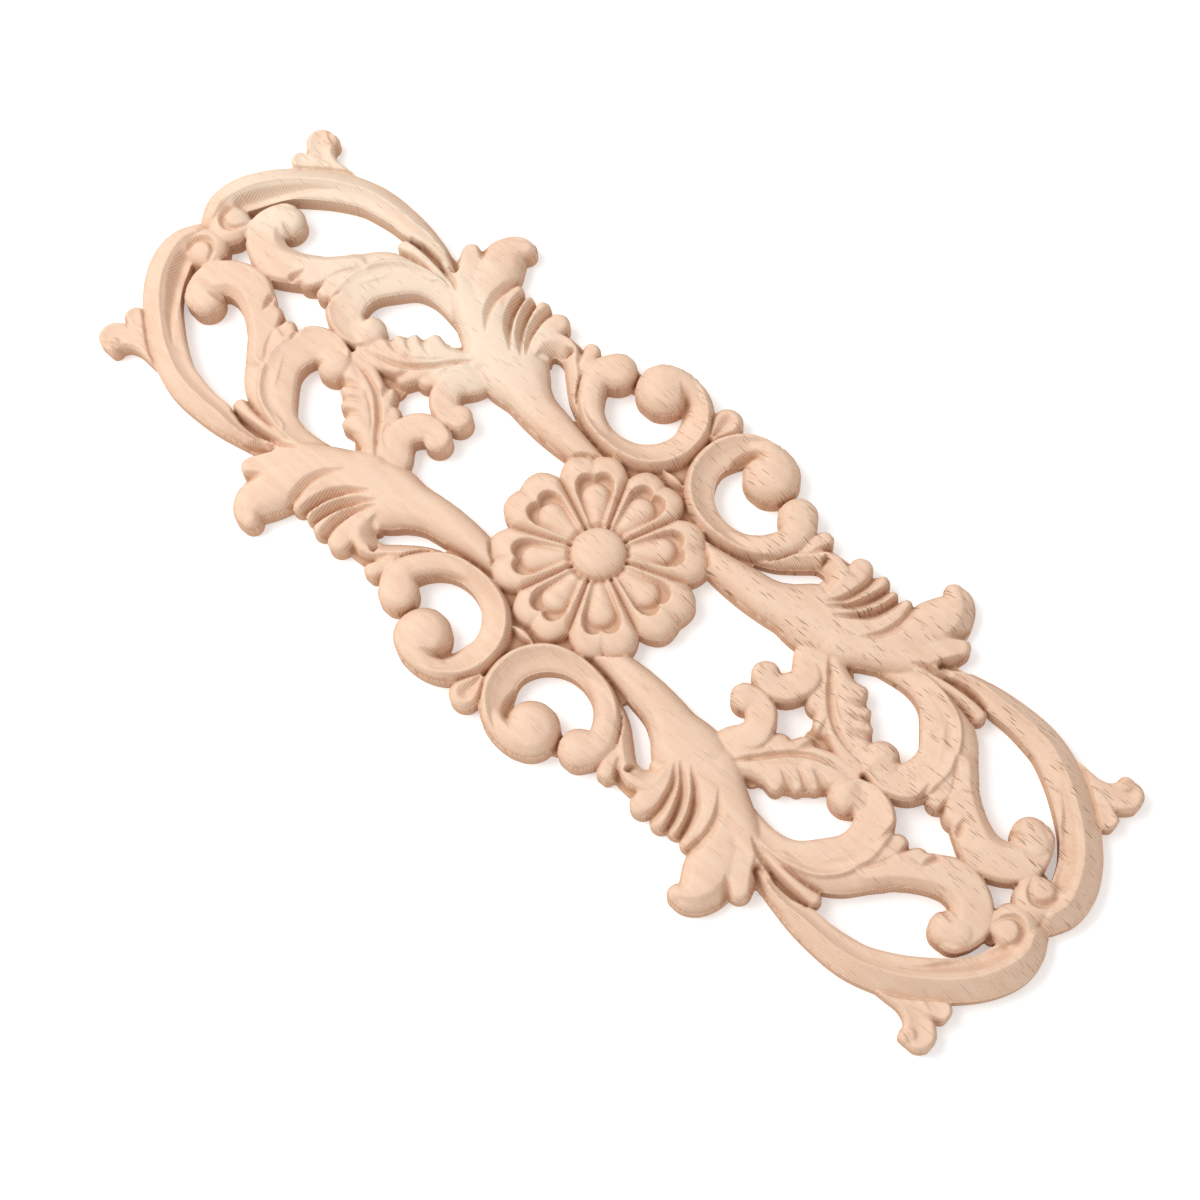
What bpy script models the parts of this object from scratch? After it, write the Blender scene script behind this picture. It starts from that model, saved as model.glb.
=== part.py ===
"""Carved wooden applique: one pierced relief of scrolls and leaves round a flower, flat at the back.

The ornament is drawn once, as a quarter with the flower's centre at the origin, and mirrored both ways.
Every scroll, stem and leaf is a stroke: a smooth line of (x, y, half width) rows that carries a
cross-section. The outline of all strokes together is the sawn blank, and their heights are the carving.
"""
import math

import bmesh
import bpy
import numpy as np

NAME = "carved_applique"

# Driving dimensions, in millimetres
MM = 0.001
LENGTH = 298.6
WIDTH = 109.0
GRID_STEP = 1.0
OUTLINE_STEP = 0.5
LEAST_GAP = 0.15
OVERLAP = 2.0
DEEPEST = 2.2
BLANK_HEIGHT = 20.0
TRIANGLES = 9400
SAME_PLACE = 0.000001
SMALLEST_EDGE = 0.00003
CURVE_WELD = 0.00002
SHARP_EDGE_DEG = 45
FINER = 2
SPILL_STEPS = 6

# The flower
PETALS = 8
FLOWER_RADIUS = 28.4
FLOWER_HEIGHT = 7.5
BUTTON_RADIUS = 7.1
BUTTON_RIM = 6.3
BUTTON_RISE = 3.1
COLLAR_DEPTH = 1.6
COLLAR_WIDTH = 1.6
PETAL_SHOULDER = 4.6
PETAL_SHORTENING = 1.9
TIP_HEIGHT = 4.2
TIP_ROUNDING = 7.0
TIP_NOTCH = 0.8
NOTCH_WIDTH = 0.9
NOTCH_SWING = 0.35
SHOULDER_START = 0.42
GAP_FLOOR = 3.9
GAP_NEAR = 1.1
GAP_FAR = 3.4
HEART_START = 7.0
HEART_END = 19.6
HEART_NARROW = 1.6
HEART_WIDE = 4.7
HEART_TAPER = 10.0
HEART_LOBE = 2.1
HEART_DEPTH = 3.0
EGG_PLACE = 16.0
EGG_RADIUS = 3.7
EGG_FOOT = 4.9
EGG_RISE = 2.3
EGG_NARROW = 0.5

# Cross-sections: (place across the stroke, -1 right edge to 1 left edge, height over the back)
FLOOR = ((-1, 2.3), (0, 2.6), (1, 2.3))
LOBE = ((-1, 4.6), (-0.92, 5.8), (-0.75, 6.7), (-0.45, 7.1), (0, 7.2), (0.45, 7.1), (0.75, 6.7),
        (0.92, 5.8), (1, 4.6))
BEAD = ((-1, 4.0), (-0.85, 5.2), (-0.5, 6.6), (0, 7.2), (0.5, 6.6), (0.85, 5.2), (1, 4.0))
KNOB = ((-1, 4.6), (-0.9, 6.2), (-0.6, 7.3), (-0.25, 7.7), (0, 7.8), (0.25, 7.7), (0.6, 7.3),
        (0.9, 6.2), (1, 4.6))
BALL = ((-1, 4.2), (-0.93, 5.8), (-0.7, 7.6), (-0.35, 8.5), (0, 8.8), (0.35, 8.5), (0.7, 7.6),
        (0.93, 5.8), (1, 4.2))
STEM = ((-1, 3.8), (-0.88, 5.6), (-0.68, 6.8), (-0.35, 7.6), (0, 7.8), (0.4, 7.6), (0.65, 7.0),
        (0.88, 5.8), (1, 4.2))
OUTER = ((-1, 5.2), (-0.9, 6.0), (-0.5, 6.4), (-0.12, 7.3), (0, 7.8), (0.1, 7.7), (0.6, 5.7),
         (0.93, 4.3), (1, 3.8))
BEVEL = ((-1, 7.2), (-0.4, 7.0), (0.3, 6.4), (0.8, 5.3), (1, 4.4))
ARM = ((-1, 4.8), (-0.94, 6.0), (-0.82, 6.6), (-0.5, 6.9), (0.3, 7.3), (0.55, 7.2), (0.92, 5.6),
       (1, 4.8))
CURL = ((-1, 5.0), (-0.9, 6.2), (-0.5, 6.9), (0, 7.1), (0.5, 7.2), (0.8, 7.0), (0.94, 6.2), (1, 5.0))
HOOK = ((-1, 5.0), (-0.9, 6.0), (-0.5, 6.6), (0, 6.9), (0.5, 7.4), (0.76, 7.9), (0.86, 7.7),
        (0.95, 6.8), (1, 5.8))
RING = ((-1, 4.0), (-0.9, 5.3), (-0.72, 7.2), (-0.6, 7.8), (-0.5, 7.7), (-0.2, 6.8), (0.3, 5.7),
        (0.8, 4.9), (1, 4.3))
STRIP = ((-1, 3.4), (-0.6, 5.2), (-0.1, 6.5), (0.15, 6.9), (0.4, 6.7), (0.85, 5.4), (1, 4.4))
ARCH = ((-1, 3.4), (-0.7, 4.4), (-0.2, 6.0), (0.3, 7.0), (0.6, 7.1), (1, 6.9))
LEAF = ((-1, 4.2), (-0.9, 5.2), (-0.6, 6.2), (-0.2, 6.5), (0, 6.4), (0.2, 6.7), (0.6, 6.7),
        (0.9, 5.5), (1, 4.2))
DISH = ((-1, 3.9), (-0.88, 5.2), (-0.72, 5.6), (-0.4, 5.3), (0, 5.1), (0.4, 5.3), (0.72, 5.6),
        (0.88, 5.2), (1, 3.9))
TROUGH = ((-1, 4.0), (-0.75, 5.8), (-0.5, 6.1), (-0.1, 5.0), (0, 4.7), (0.1, 5.0), (0.5, 6.1),
          (0.75, 5.8), (1, 4.0))


class Carving:
    """Strokes in the order they are carved: laid over, grown from, or cut into what is there.

    A row is (x, y, half width) and may end in a lift, which raises or sinks the section there.
    """

    def __init__(self):
        self.strokes = []

    def lay(self, rows, section):
        self.strokes.append((rows, section, "lay"))

    def grow(self, rows, section):
        self.strokes.append((rows, section, "grow"))

    def cut(self, rows, depth, lean=0.0):
        """A V groove; lean moves its deepest line towards the left (1) or the right (-1) side."""
        self.strokes.append((rows, (depth, lean), "cut"))

    def hollow(self, rows, depth):
        self.strokes.append((rows, depth, "hollow"))


def ground(carving):
    """Low ground between the pieces that are joined side by side, with the bud beside the flower."""
    carving.grow([(0, 27, 4), (8, 24, 3.5), (16, 22, 3.2), (24, 22, 2.2), (29.8, 23.8, 1.1)], FLOOR)
    carving.grow([(34, 33, 3), (40, 37, 3), (46, 38.3, 2.8), (52, 38, 3)], FLOOR)
    carving.grow([(0, 30, 3.0), (0, 36, 1.5), (0, 44, 1.5)], FLOOR)
    carving.grow([(128, 5.5, 2.0), (134, 6.2, 2.4)], FLOOR)
    carving.grow([(136, 9.2, 1.9)], FLOOR)
    carving.grow([(84, 33.4, 1.6), (88, 33.6, 1.6), (92, 32.8, 2.4), (97, 32.6, 2.0)], FLOOR)
    carving.grow([(64, 17, 4), (67, 17.4, 2.5)], FLOOR)
    carving.grow([(71, 0.4, 1.4), (78, 0, 1.8), (86, 0, 1.2), (92, 0, 1.6)], FLOOR)
    carving.grow([(25.8, 43.2, 2.6)], FLOOR)
    carving.grow([(-3, 28.2, 0.6, -1.6), (0, 28.2, 1.5, -1.2), (3, 28.2, 0.6, -1.6)], BEAD)


def acanthus(carving):
    """The stem out of the flower and the leaf that it opens into."""
    carving.grow([(37, 33.5, 1.6, -1.5), (38.9, 37.5, 2.4, -0.8), (40.1, 40.9, 2.5, -0.6)], LOBE)
    for root, middle, tip in (
            ((52, 27, 4.6, -0.3), (52.6, 35, 4.0, -0.2), (52.1, 41, 3.2, -0.6)),
            ((54, 26, 5.0, -0.3), (56.9, 35, 3.4, -0.2), (58.2, 41, 2.8, -0.6)),
            ((58, 26, 5.0, -0.3), (61, 35, 3.2, -0.2), (62.3, 39.8, 2.5, -0.6)),
            ((62, 26, 5.0, -0.3), (65.4, 35, 3.4, -0.2), (66.9, 40.3, 2.5, -0.6)),
            ((74, 30, 5.0, -0.2), (80.5, 37, 4.6, -0.2), (83.8, 41.2, 3.1, -0.6))):
        carving.grow([root, middle, tip], LOBE)
    carving.grow([(60, 23, 7, -0.2), (67, 29.5, 7.4, -0.1), (73.5, 37, 7.4, -0.2),
                  (76.1, 43, 7.1, -0.3), (76.9, 47.5, 5.5, -0.5), (75.8, 50.6, 4.0, -0.8),
                  (73.6, 51.9, 2.8, -1.0)], STEM)
    carving.grow([(18, 18.6, 3.0, -1.5), (25, 18.4, 4.0, -0.4), (33, 18.9, 4.9, 0),
                  (40, 19.8, 5.4, 0), (46, 21.8, 6.7, 0), (53, 24.2, 9.4, 0), (60, 26, 8.4, 0.1),
                  (68, 28, 6.4, 0), (76, 30.8, 4.8, -0.2), (83, 33.8, 3.2, -0.7),
                  (88, 35.8, 2.2, -1.4)], STEM)


def feather(carving):
    """The small leaf that points along the middle line."""
    carving.grow([(60, 18, 3.4, -0.8), (66, 13.4, 5.4, -0.3), (71.5, 10.2, 6.6, 0),
                  (77, 6.8, 5.9, 0), (82, 4.2, 4, -0.2), (87, 2, 1.4, -1.0)], LEAF)
    for root, tip in (
            ((70, 14, 3.4, -0.6), (73.2, 15.9, 2.1, -0.9)),
            ((74, 10.5, 3.4, -0.4), (77.2, 12.5, 2.0, -0.7)),
            ((77, 7.5, 3.0, -0.4), (80.4, 9.5, 1.9, -0.8)),
            ((65.4, 12, 4.2, -0.7), (67.2, 7.7, 3.6, -1.2)),
            ((70, 8.4, 3.6, -0.7), (72.0, 3.5, 2.8, -1.1))):
        carving.grow([root, tip], LOBE)
    carving.grow([(75, 4, 2.5, -0.6), (80, 2, 2.5, -0.8), (86, 0.8, 1.6, -1.2)], LOBE)


def s_scroll(carving):
    """The double scroll inside the frame, its serrated arm and its two curls."""
    carving.lay([(86, 28.8, 1.2), (91, 28.4, 2.0), (95.5, 26.6, 3.1), (99.6, 22.4, 4.6),
                 (103.5, 17, 5.1), (106, 14.4, 5.0)], BEVEL)
    for root, tip in (
            ((105, 13, 5.0, -0.4), (105.0, 7.6, 2.9, -0.5)),
            ((109.5, 11, 5.0, -0.3), (110.8, 7.3, 3.2, -0.4))):
        carving.grow([root, tip], LOBE)
    carving.grow([(103.5, 17, 5.1), (108, 12.4, 4.8), (112.5, 9.3, 4.6), (117, 6.6, 4.9),
                  (121.5, 5, 5.4), (126.5, 6.2, 5.2), (130, 9.6, 5.2), (130.6, 13.2, 4.3),
                  (129.2, 15.6, 4.4)], ARM)
    carving.grow([(130, 14.5, 4.3), (127.2, 15.5, 4.7)], KNOB)
    carving.grow([(57, 22, 5.0, -3.0), (58.6, 15.6, 5.2, -1.0), (60.4, 12.2, 4.7, -0.4),
                  (60.8, 8.4, 4.0, 0), (58.8, 4.6, 4.0, 0), (55.5, 3, 3.4, 0),
                  (52.8, 3.9, 3.7, 0.2)], CURL)
    carving.grow([(68, 24.2, 2.0, -2.4), (75, 26.0, 2.3, -1.8), (82, 27.2, 3.0, -0.9),
                  (88.4, 26, 3.8, -0.2), (93.9, 22.4, 5.2, 0), (97.8, 17, 5.2, 0),
                  (98.6, 11.5, 5.1, 0), (97, 6.4, 5.1, -0.2), (93, 3.8, 4.2, -0.5),
                  (89.5, 3.9, 3.7, -1.0)], HOOK)
    carving.grow([(91, 5.2, 4.0, -1.2), (88.0, 6.3, 4.8, -0.3)], KNOB)
    carving.grow([(79, 30.2, 0.8, -1.6), (85, 31.0, 1.3, -0.9), (91, 31.6, 1.7, -0.6),
                  (96, 31.4, 2.1, -0.8), (98.5, 31, 2.1, -1.2)], LOBE)


def outer_scroll(carving):
    """The long outer scroll, the spray of two lobes on its shoulder and the volute at its end."""
    carving.lay([(116, 36.5, 1.5), (125.5, 36, 2.0), (131, 34.8, 3.1), (135.5, 36, 3.6),
                 (138.5, 39.1, 4.1)], DISH)
    carving.grow([(132, 33, 3), (138.3, 31.5, 3.0)], DISH)
    carving.grow([(136.6, 41, 2.4, -1.4)], KNOB)
    carving.lay([(84, 34.8, 1.2, -1.5), (88, 36, 1.8, -0.8), (95, 37, 2.5, -0.2),
                 (100, 36.8, 3.6, 0), (106, 37, 3.9, 0), (112, 36.6, 4.3, 0), (117.8, 35.4, 4.5, 0),
                 (125.5, 31.9, 5.0, 0), (132.2, 27.2, 5.1, 0), (136.8, 23.2, 5.2, 0),
                 (140.8, 18.2, 5.4, 0), (143.4, 12.6, 5.6, 0), (144.4, 7.6, 4.8, 0),
                 (143.2, 3.2, 4.0, -0.3)], OUTER)
    carving.hollow([(124, 30.8, 0.3), (130, 26, 1.2), (134.5, 20.4, 2.2), (137.8, 15.4, 2.9),
                    (140.4, 10.8, 2.4)], 2.2)
    carving.grow([(138.3, 4.5, 5.8)], KNOB)


def ring_scroll(carving):
    """The scroll rolled into a ring beside the flower, its ball, its head and its hooked link."""
    carving.grow([(25, 24.5, 0.9, -1.4), (30, 26.3, 1.5, -1.0), (34.2, 29.1, 2.3, -0.6),
                  (38.2, 32.6, 2.6, -0.3), (42, 35.8, 2.6, -0.2), (45, 37, 2.6, -0.4)], STRIP)
    carving.grow([(40, 34.4, 2.2, -1.6), (43, 36.4, 2.6, -0.3), (46.2, 37, 2.9, 0)], ARCH)
    carving.lay([(46.2, 37, 2.9, 0), (48.2, 36.3, 3.0, 0), (49.6, 34.6, 3.0, 0),
                 (49.8, 32.4, 2.4, 0)], ARCH)
    carving.grow([(50, 30.5, 2.4, -1.0), (47.6, 31.8, 1.2, -1.8)], LOBE)
    carving.lay([(17, 50.4, 3.0, -1.6), (13, 50, 3.3, -0.6), (9.2, 47.9, 4.0, 0),
                 (5.6, 43.9, 4.5, 0), (4, 38.4, 4.2, 0), (5.2, 33, 4.1, 0), (9, 28.4, 3.8, 0),
                 (14.5, 25.9, 3.2, 0), (20.5, 25.5, 2.9, 0), (26.3, 26.9, 3.2, -0.3),
                 (31, 30.2, 3.4, -0.8), (33.9, 35, 3.6, -1.4), (33.2, 38.8, 4.4, -1.8)], RING)
    carving.grow([(20, 25.6, 2.0, -2.0), (25.5, 26.9, 2.8, -1.0), (30.4, 30.1, 3.4, -0.4),
                  (33.6, 35, 3.8, 0), (33.4, 38.6, 4.5, 0.2), (31, 41.2, 5.2, 0.4)], KNOB)
    carving.grow([(8, 48, 2.6, -2.2), (13, 49.6, 3.6, -1.2), (17, 47.8, 5.6, -0.4),
                  (18.6, 45.3, 7.5, 0)], BALL)
    carving.lay([(0, 44, 1.2), (0, 47, 3.0), (0, 49.2, 4.2)], TROUGH)


def grooves(carving):
    """Flutes, notches and veins cut into the finished forms."""
    for depth, rows in (
            (3.0, [(56.4, 44.2, 1.1), (56.6, 40, 1.4), (56.0, 36, 1.4), (54.6, 32, 1.1),
                   (51.5, 28.4, 0.3)]),
            (3.6, [(61.1, 43.4, 1.2), (60.8, 39.5, 1.5), (59.2, 35, 1.5), (56.5, 31, 1.1),
                   (52.4, 27.2, 0.3)]),
            (3.6, [(64.8, 42.4, 1.2), (64.4, 38.6, 1.5), (63.0, 34.4, 1.5), (60.1, 30.4, 1.1),
                   (55.4, 26.4, 0.3)]),
            (2.0, [(68.6, 42.6, 1.1), (69.4, 38.5, 1.4), (69.2, 34.5, 1.4), (67.6, 30.4, 1.1),
                   (64, 26, 0.3)])):
        carving.cut(rows, depth, -0.5)
    for depth, rows in (
            (3.2, [(84.2, 46.2, 1.8), (81.8, 43.6, 1.3), (79.6, 41.2, 0.4)]),
            (4.2, [(88.4, 39.6, 2.3), (85.6, 36.6, 1.9), (82.0, 33.2, 0.5)]),
            (3.0, [(78.2, 30.0, 0.4), (82, 31.9, 0.9), (87, 33.0, 1.1), (93, 33.5, 1.1),
                   (98.4, 33.4, 0.8)]),
            (1.6, [(89, 29.9, 0.3), (93.5, 29.8, 0.8), (97, 29.2, 0.9), (99.5, 28.6, 0.6)]),
            (2.2, [(42.9, 40.0, 1.2), (41.2, 38.0, 0.8), (40.0, 35.8, 0.3)])):
        carving.cut(rows, depth)
    carving.cut([(61.5, 18, 0.4), (64.6, 14.6, 0.8), (67.4, 11.2, 1.0), (70.2, 8.2, 1.0),
                 (74, 5.2, 0.9), (79, 3.2, 0.7), (85, 2.3, 0.3)], 1.9)
    for depth, rows in (
            (1.8, [(77.2, 15.4, 1.4), (74.8, 13.4, 1.1), (71.6, 12.0, 0.3)]),
            (1.8, [(82.9, 8.8, 1.5), (80.3, 7.5, 1.2), (77.0, 6.6, 0.3)]),
            (1.2, [(79.4, 11.8, 0.8), (77.0, 10.2, 0.8), (74.2, 9.2, 0.3)]),
            (2.0, [(73.4, 0.6, 1.4), (72.4, 3.2, 0.9), (71.6, 5.4, 0.3)]),
            (0.5, [(66.5, 15.0, 0.3), (69.8, 11, 0.5), (73.6, 8.2, 0.5), (77.6, 6.2, 0.3)]),
            (0.7, [(60.6, 14.4, 0.4), (63.2, 13.2, 0.8), (64.6, 11.2, 0.8), (64.8, 8.6, 0.4)])):
        carving.cut(rows, depth)
    carving.cut([(10.0, 41.0, 1.6), (10.4, 44.2, 1.7), (12.2, 47.0, 1.2), (15.6, 48.8, 0.4)], 2.6)
    carving.cut([(102.3, 4.0, 1.2), (101.8, 6.6, 0.9), (101.2, 9.2, 0.3)], 2.6)
    carving.cut([(107.9, 4.4, 1.2), (107.3, 6.6, 0.9), (106.8, 9.2, 0.3)], 3.0)
    carving.cut([(114.2, 4.0, 1.1), (113.6, 5.8, 0.9), (113.0, 8.0, 0.3)], 2.0)
    carving.cut([(106.7, 9.4, 0.3), (105.9, 12.4, 0.6), (104.2, 15.4, 0.8), (102.6, 17.2, 0.8),
                 (101.6, 19.4, 0.3)], 0.8)
    carving.cut([(100.2, 18.6, 0.3), (102.6, 18.2, 0.6), (104.6, 18.6, 0.3)], 0.7)
    carving.hollow([(75, 53.0, 0.8), (79.4, 50.8, 2.0), (81.6, 46.8, 2.2), (80.4, 43.0, 0.8)], 1.0)
    carving.hollow([(87, 26.8, 1.0), (92.5, 25.8, 2.2), (97.0, 22.8, 2.6), (99.4, 19.6, 1.6)], 0.8)
    carving.cut([(134.7, 7.0, 0.5), (135.9, 4.3, 0.8), (138.4, 3.0, 1.1), (141.0, 4.4, 1.2),
                 (141.6, 7.2, 0.9), (140.2, 9.3, 0.4)], 2.2)
    carving.cut([(134.2, 41.0, 0.6), (136.6, 41.3, 0.8), (139.0, 42.4, 0.3)], 1.6)
    carving.cut([(141.8, 33.9, 1.1), (139.4, 34.0, 0.9), (136.6, 34.8, 0.3)], 2.0)
    carving.cut([(122.6, 12.6, 0.8), (125.2, 13.3, 0.8), (127.6, 13.9, 0.3)], 1.8)
    carving.cut([(91.6, 10.2, 1.0), (91.4, 8.6, 0.8), (90.9, 7.2, 0.3)], 1.8)


def smooth_path(rows, spacing=0.5):
    """Rows along a smooth curve through the given rows (Catmull-Rom)."""
    rows = np.array(rows, float)
    if len(rows) == 1:
        return np.vstack([rows, rows])
    ends = np.vstack([2 * rows[0] - rows[1], rows, 2 * rows[-1] - rows[-2]])
    pieces = []
    for a, b, c, d in zip(ends, ends[1:], ends[2:], ends[3:]):
        count = max(2, int(np.hypot(*(c - b)[:2]) / spacing))
        t = np.linspace(0, 1, count, endpoint=False)[:, None]
        pieces.append(0.5 * (2 * b + (c - a) * t + (2 * a - 5 * b + 4 * c - d) * t**2
                             + (3 * b - a - 3 * c + d) * t**3))
    return np.vstack(pieces + [rows[-1:]])


def follow(rows, x, y):
    """How far each point lies inside a stroke, its place across it, and the nearest row's width and lift."""
    path = smooth_path(rows)
    line_x, line_y, width = path.T[:3]
    lift = path[:, 3] if path.shape[1] > 3 else np.zeros(len(path))
    reach = width.max()
    inside = np.full(x.shape, -reach)
    across = np.zeros(x.shape)
    fullness = np.ones(x.shape)
    raised = np.zeros(x.shape)
    near = ((x > line_x.min() - reach) & (x < line_x.max() + reach)
            & (y > line_y.min() - reach) & (y < line_y.max() + reach))
    if near.any():
        dx = x[near][:, None] - line_x
        dy = y[near][:, None] - line_y
        distance = np.hypot(dx, dy)
        inside[near] = (width - distance).max(axis=1)
        points = np.arange(len(dx))
        nearest = np.argmin(distance / width, axis=1)
        along_x = np.gradient(line_x)[nearest]
        along_y = np.gradient(line_y)[nearest]
        left = along_x * dy[points, nearest] - along_y * dx[points, nearest] >= 0
        across[near] = np.where(left, 1, -1) * np.minimum(distance[points, nearest] / width[nearest], 1)
        fullness[near] = width[nearest] / reach
        raised[near] = lift[nearest]
    return inside, across, fullness, raised


def section_height(section, across):
    """Height of a cross-section, drawn as a smooth line through its points."""
    line = smooth_path([(place, height, 0) for place, height in section], spacing=0.05)
    return np.interp(across, line[:, 0], line[:, 1])


def fade(value, start, end):
    """0 before start, 1 after end, straight in between."""
    return np.clip((value - start) / (end - start), 0, 1)


def rounded(value):
    """0 at 0 and 1 from 1 on, along a quarter circle."""
    return np.sqrt(1 - (1 - np.clip(value, 0, 1)) ** 2)


def flower(x, y):
    """Height of the flower, and how far each point lies inside its edge."""
    radius = np.hypot(x, y)
    angle = np.arctan2(y, x)
    sector = math.pi / PETALS
    turn = (angle + sector) % (2 * sector) - sector
    swing = np.abs(turn) / sector
    edge = FLOWER_RADIUS - TIP_NOTCH * (1 - fade(swing, 0, NOTCH_SWING)) ** 1.5
    edge = edge - PETAL_SHOULDER * fade(swing, SHOULDER_START, 1) ** 2 - PETAL_SHORTENING * np.sin(angle) ** 4
    inside = edge - radius

    height = TIP_HEIGHT + (FLOWER_HEIGHT - TIP_HEIGHT) * rounded(inside / TIP_ROUNDING)
    gap = radius * np.sin(sector - np.abs(turn))
    gap_width = GAP_NEAR + (GAP_FAR - GAP_NEAR) * fade(radius, BUTTON_RADIUS, FLOWER_RADIUS)
    height = np.minimum(height, GAP_FLOOR + (FLOWER_HEIGHT - GAP_FLOOR) * rounded(gap / gap_width))

    out = radius * np.cos(turn)
    side = np.abs(radius * np.sin(turn))
    half = HEART_NARROW + (HEART_WIDE - HEART_NARROW) * fade(out, HEART_START, HEART_START + HEART_TAPER)
    end = HEART_END + HEART_LOBE * np.sqrt(np.clip(1 - ((side - HEART_LOBE) / (HEART_LOBE + 0.2)) ** 2, 0, 1))
    heart = fade(np.minimum(half - side, end - out), -0.3, 0.5)
    height = height - (1 + (HEART_DEPTH - 1) * fade(out, HEART_START, HEART_END)) * heart
    egg = EGG_RADIUS * (EGG_NARROW + (1 - EGG_NARROW) * fade(out, BUTTON_RADIUS, EGG_PLACE)) - side
    egg = np.where(out > EGG_PLACE, EGG_RADIUS - np.hypot(out - EGG_PLACE, side), egg)
    height = np.maximum(height, np.where(egg > 0, EGG_FOOT + EGG_RISE * rounded(egg / EGG_RADIUS), 0))
    height = height - TIP_NOTCH * (1 - fade(side, 0, NOTCH_WIDTH)) * fade(out, HEART_END + 2, FLOWER_RADIUS)
    height = height - COLLAR_DEPTH * (1 - fade(radius, BUTTON_RADIUS, BUTTON_RADIUS + COLLAR_WIDTH))

    button = BUTTON_RIM + BUTTON_RISE * np.sqrt(np.clip(1 - (radius / BUTTON_RADIUS) ** 2, 0, 1))
    return np.where(radius < BUTTON_RADIUS, button, height), inside


def relief(carving, x, y):
    """Height over the back at each point, and how far the point lies inside the outline."""
    x, y = np.abs(x), np.abs(y)
    height = np.zeros(x.shape)
    inside = np.full(x.shape, -LENGTH)
    for rows, shape, way in carving.strokes:
        clear, across, fullness, lift = follow(rows, x, y)
        covered = clear > 0
        if way == "cut":
            depth, lean = shape
            climb = np.where(across > lean, (1 - across) / (1 - lean), (1 + across) / (1 + lean))
            height = np.where(covered, height - depth * fullness * np.clip(climb, 0, 1) ** 0.8, height)
        elif way == "hollow":
            height = np.where(covered, height - shape * fullness * (1 - across ** 2) ** 1.5, height)
        else:
            section = section_height(shape, across) + lift
            if way == "grow":
                section = np.maximum(section, height)
            height = np.where(covered, section, height)
            inside = np.maximum(inside, clear)
    petals, clear = flower(x, y)
    height = np.where(clear > 0, petals, height)
    return np.maximum(height, DEEPEST), np.maximum(inside, clear)


def contour_loops(field, xs, ys):
    """Closed loops of points where the field changes sign, one list of (x, y) for each loop."""
    positive = field > 0
    points = {}
    links = {}

    def crossing(row, column, other_row, other_column):
        key = (row, column, other_row, other_column)
        if key not in points:
            here, there = field[row, column], field[other_row, other_column]
            share = here / (here - there)
            points[key] = (xs[column] + share * (xs[other_column] - xs[column]),
                           ys[row] + share * (ys[other_row] - ys[row]))
        return key

    mixed = positive[:-1, :-1].astype(int) + positive[1:, :-1] + positive[:-1, 1:] + positive[1:, 1:]
    for row, column in zip(*np.nonzero((mixed > 0) & (mixed < 4))):
        corners = ((row, column), (row, column + 1), (row + 1, column + 1), (row + 1, column))
        edges = []
        for start, end in zip(corners, corners[1:] + corners[:1]):
            if positive[start] != positive[end]:
                edges.append(crossing(*min(start, end), *max(start, end)))
        if len(edges) == 4 and positive[row, column] == (field[row:row + 2, column:column + 2].mean() > 0):
            edges = edges[1:] + edges[:1]
        for one, two in zip(edges[::2], edges[1::2]):
            links.setdefault(one, []).append(two)
            links.setdefault(two, []).append(one)

    loops = []
    while links:
        start, ways = next(iter(links.items()))
        loop, here, came = [start], ways[0], start
        while here != start:
            loop.append(here)
            one, two = links[here]
            here, came = (two if one == came else one), here
        for key in loop:
            del links[key]
        loops.append(spaced_out([points[key] for key in loop]))
    return loops


def spaced_out(loop):
    """The loop without points that crowd the one before them."""
    kept = []
    for point in loop:
        if not kept or math.dist(point, kept[-1]) > LEAST_GAP:
            kept.append(point)
    while math.dist(kept[0], kept[-1]) <= LEAST_GAP:
        kept.pop()
    return kept


def spread(start, end, step):
    return np.linspace(start, end, int(round((end - start) / step)) + 1)


def shifted(values, down, over):
    """The grid moved by whole steps, with its border repeated."""
    padded = np.pad(values, 1, mode="edge")
    rows, columns = values.shape
    return padded[1 + down:1 + down + rows, 1 + over:1 + over + columns]


def spread_out(height, known):
    """Carry the heights of the carved wood a few steps past its edge, so that the edge stays crisp."""
    around = [(down, over) for down in (-1, 0, 1) for over in (-1, 0, 1)]
    for _ in range(SPILL_STEPS):
        weight = sum(shifted(known.astype(float), *way) for way in around)
        total = sum(shifted(np.where(known, height, 0), *way) for way in around)
        fresh = ~known & (weight > 0)
        height = np.where(fresh, total / np.maximum(weight, 1), height)
        known = known | fresh
    return height


def softened(height):
    """One pass of light sanding over the grid."""
    for down, over in ((0, 1), (1, 0)):
        height = (shifted(height, -down, -over) + 2 * height + shifted(height, down, over)) / 4
    return height


def quarter_field(carving, start, step):
    """Grid lines over a quarter from start, with the height and the clearance at each crossing."""
    xs = spread(start, LENGTH / 2 + OVERLAP, step)
    ys = spread(start, WIDTH / 2 + OVERLAP, step)
    fine_x, fine_y = (np.linspace(line[0], line[-1], FINER * (len(line) - 1) + 1) for line in (xs, ys))
    height, inside = relief(carving, *np.meshgrid(fine_x, fine_y))
    height = softened(softened(spread_out(height, inside > 0)))
    return xs, ys, height[::FINER, ::FINER], inside[::FINER, ::FINER]


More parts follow.
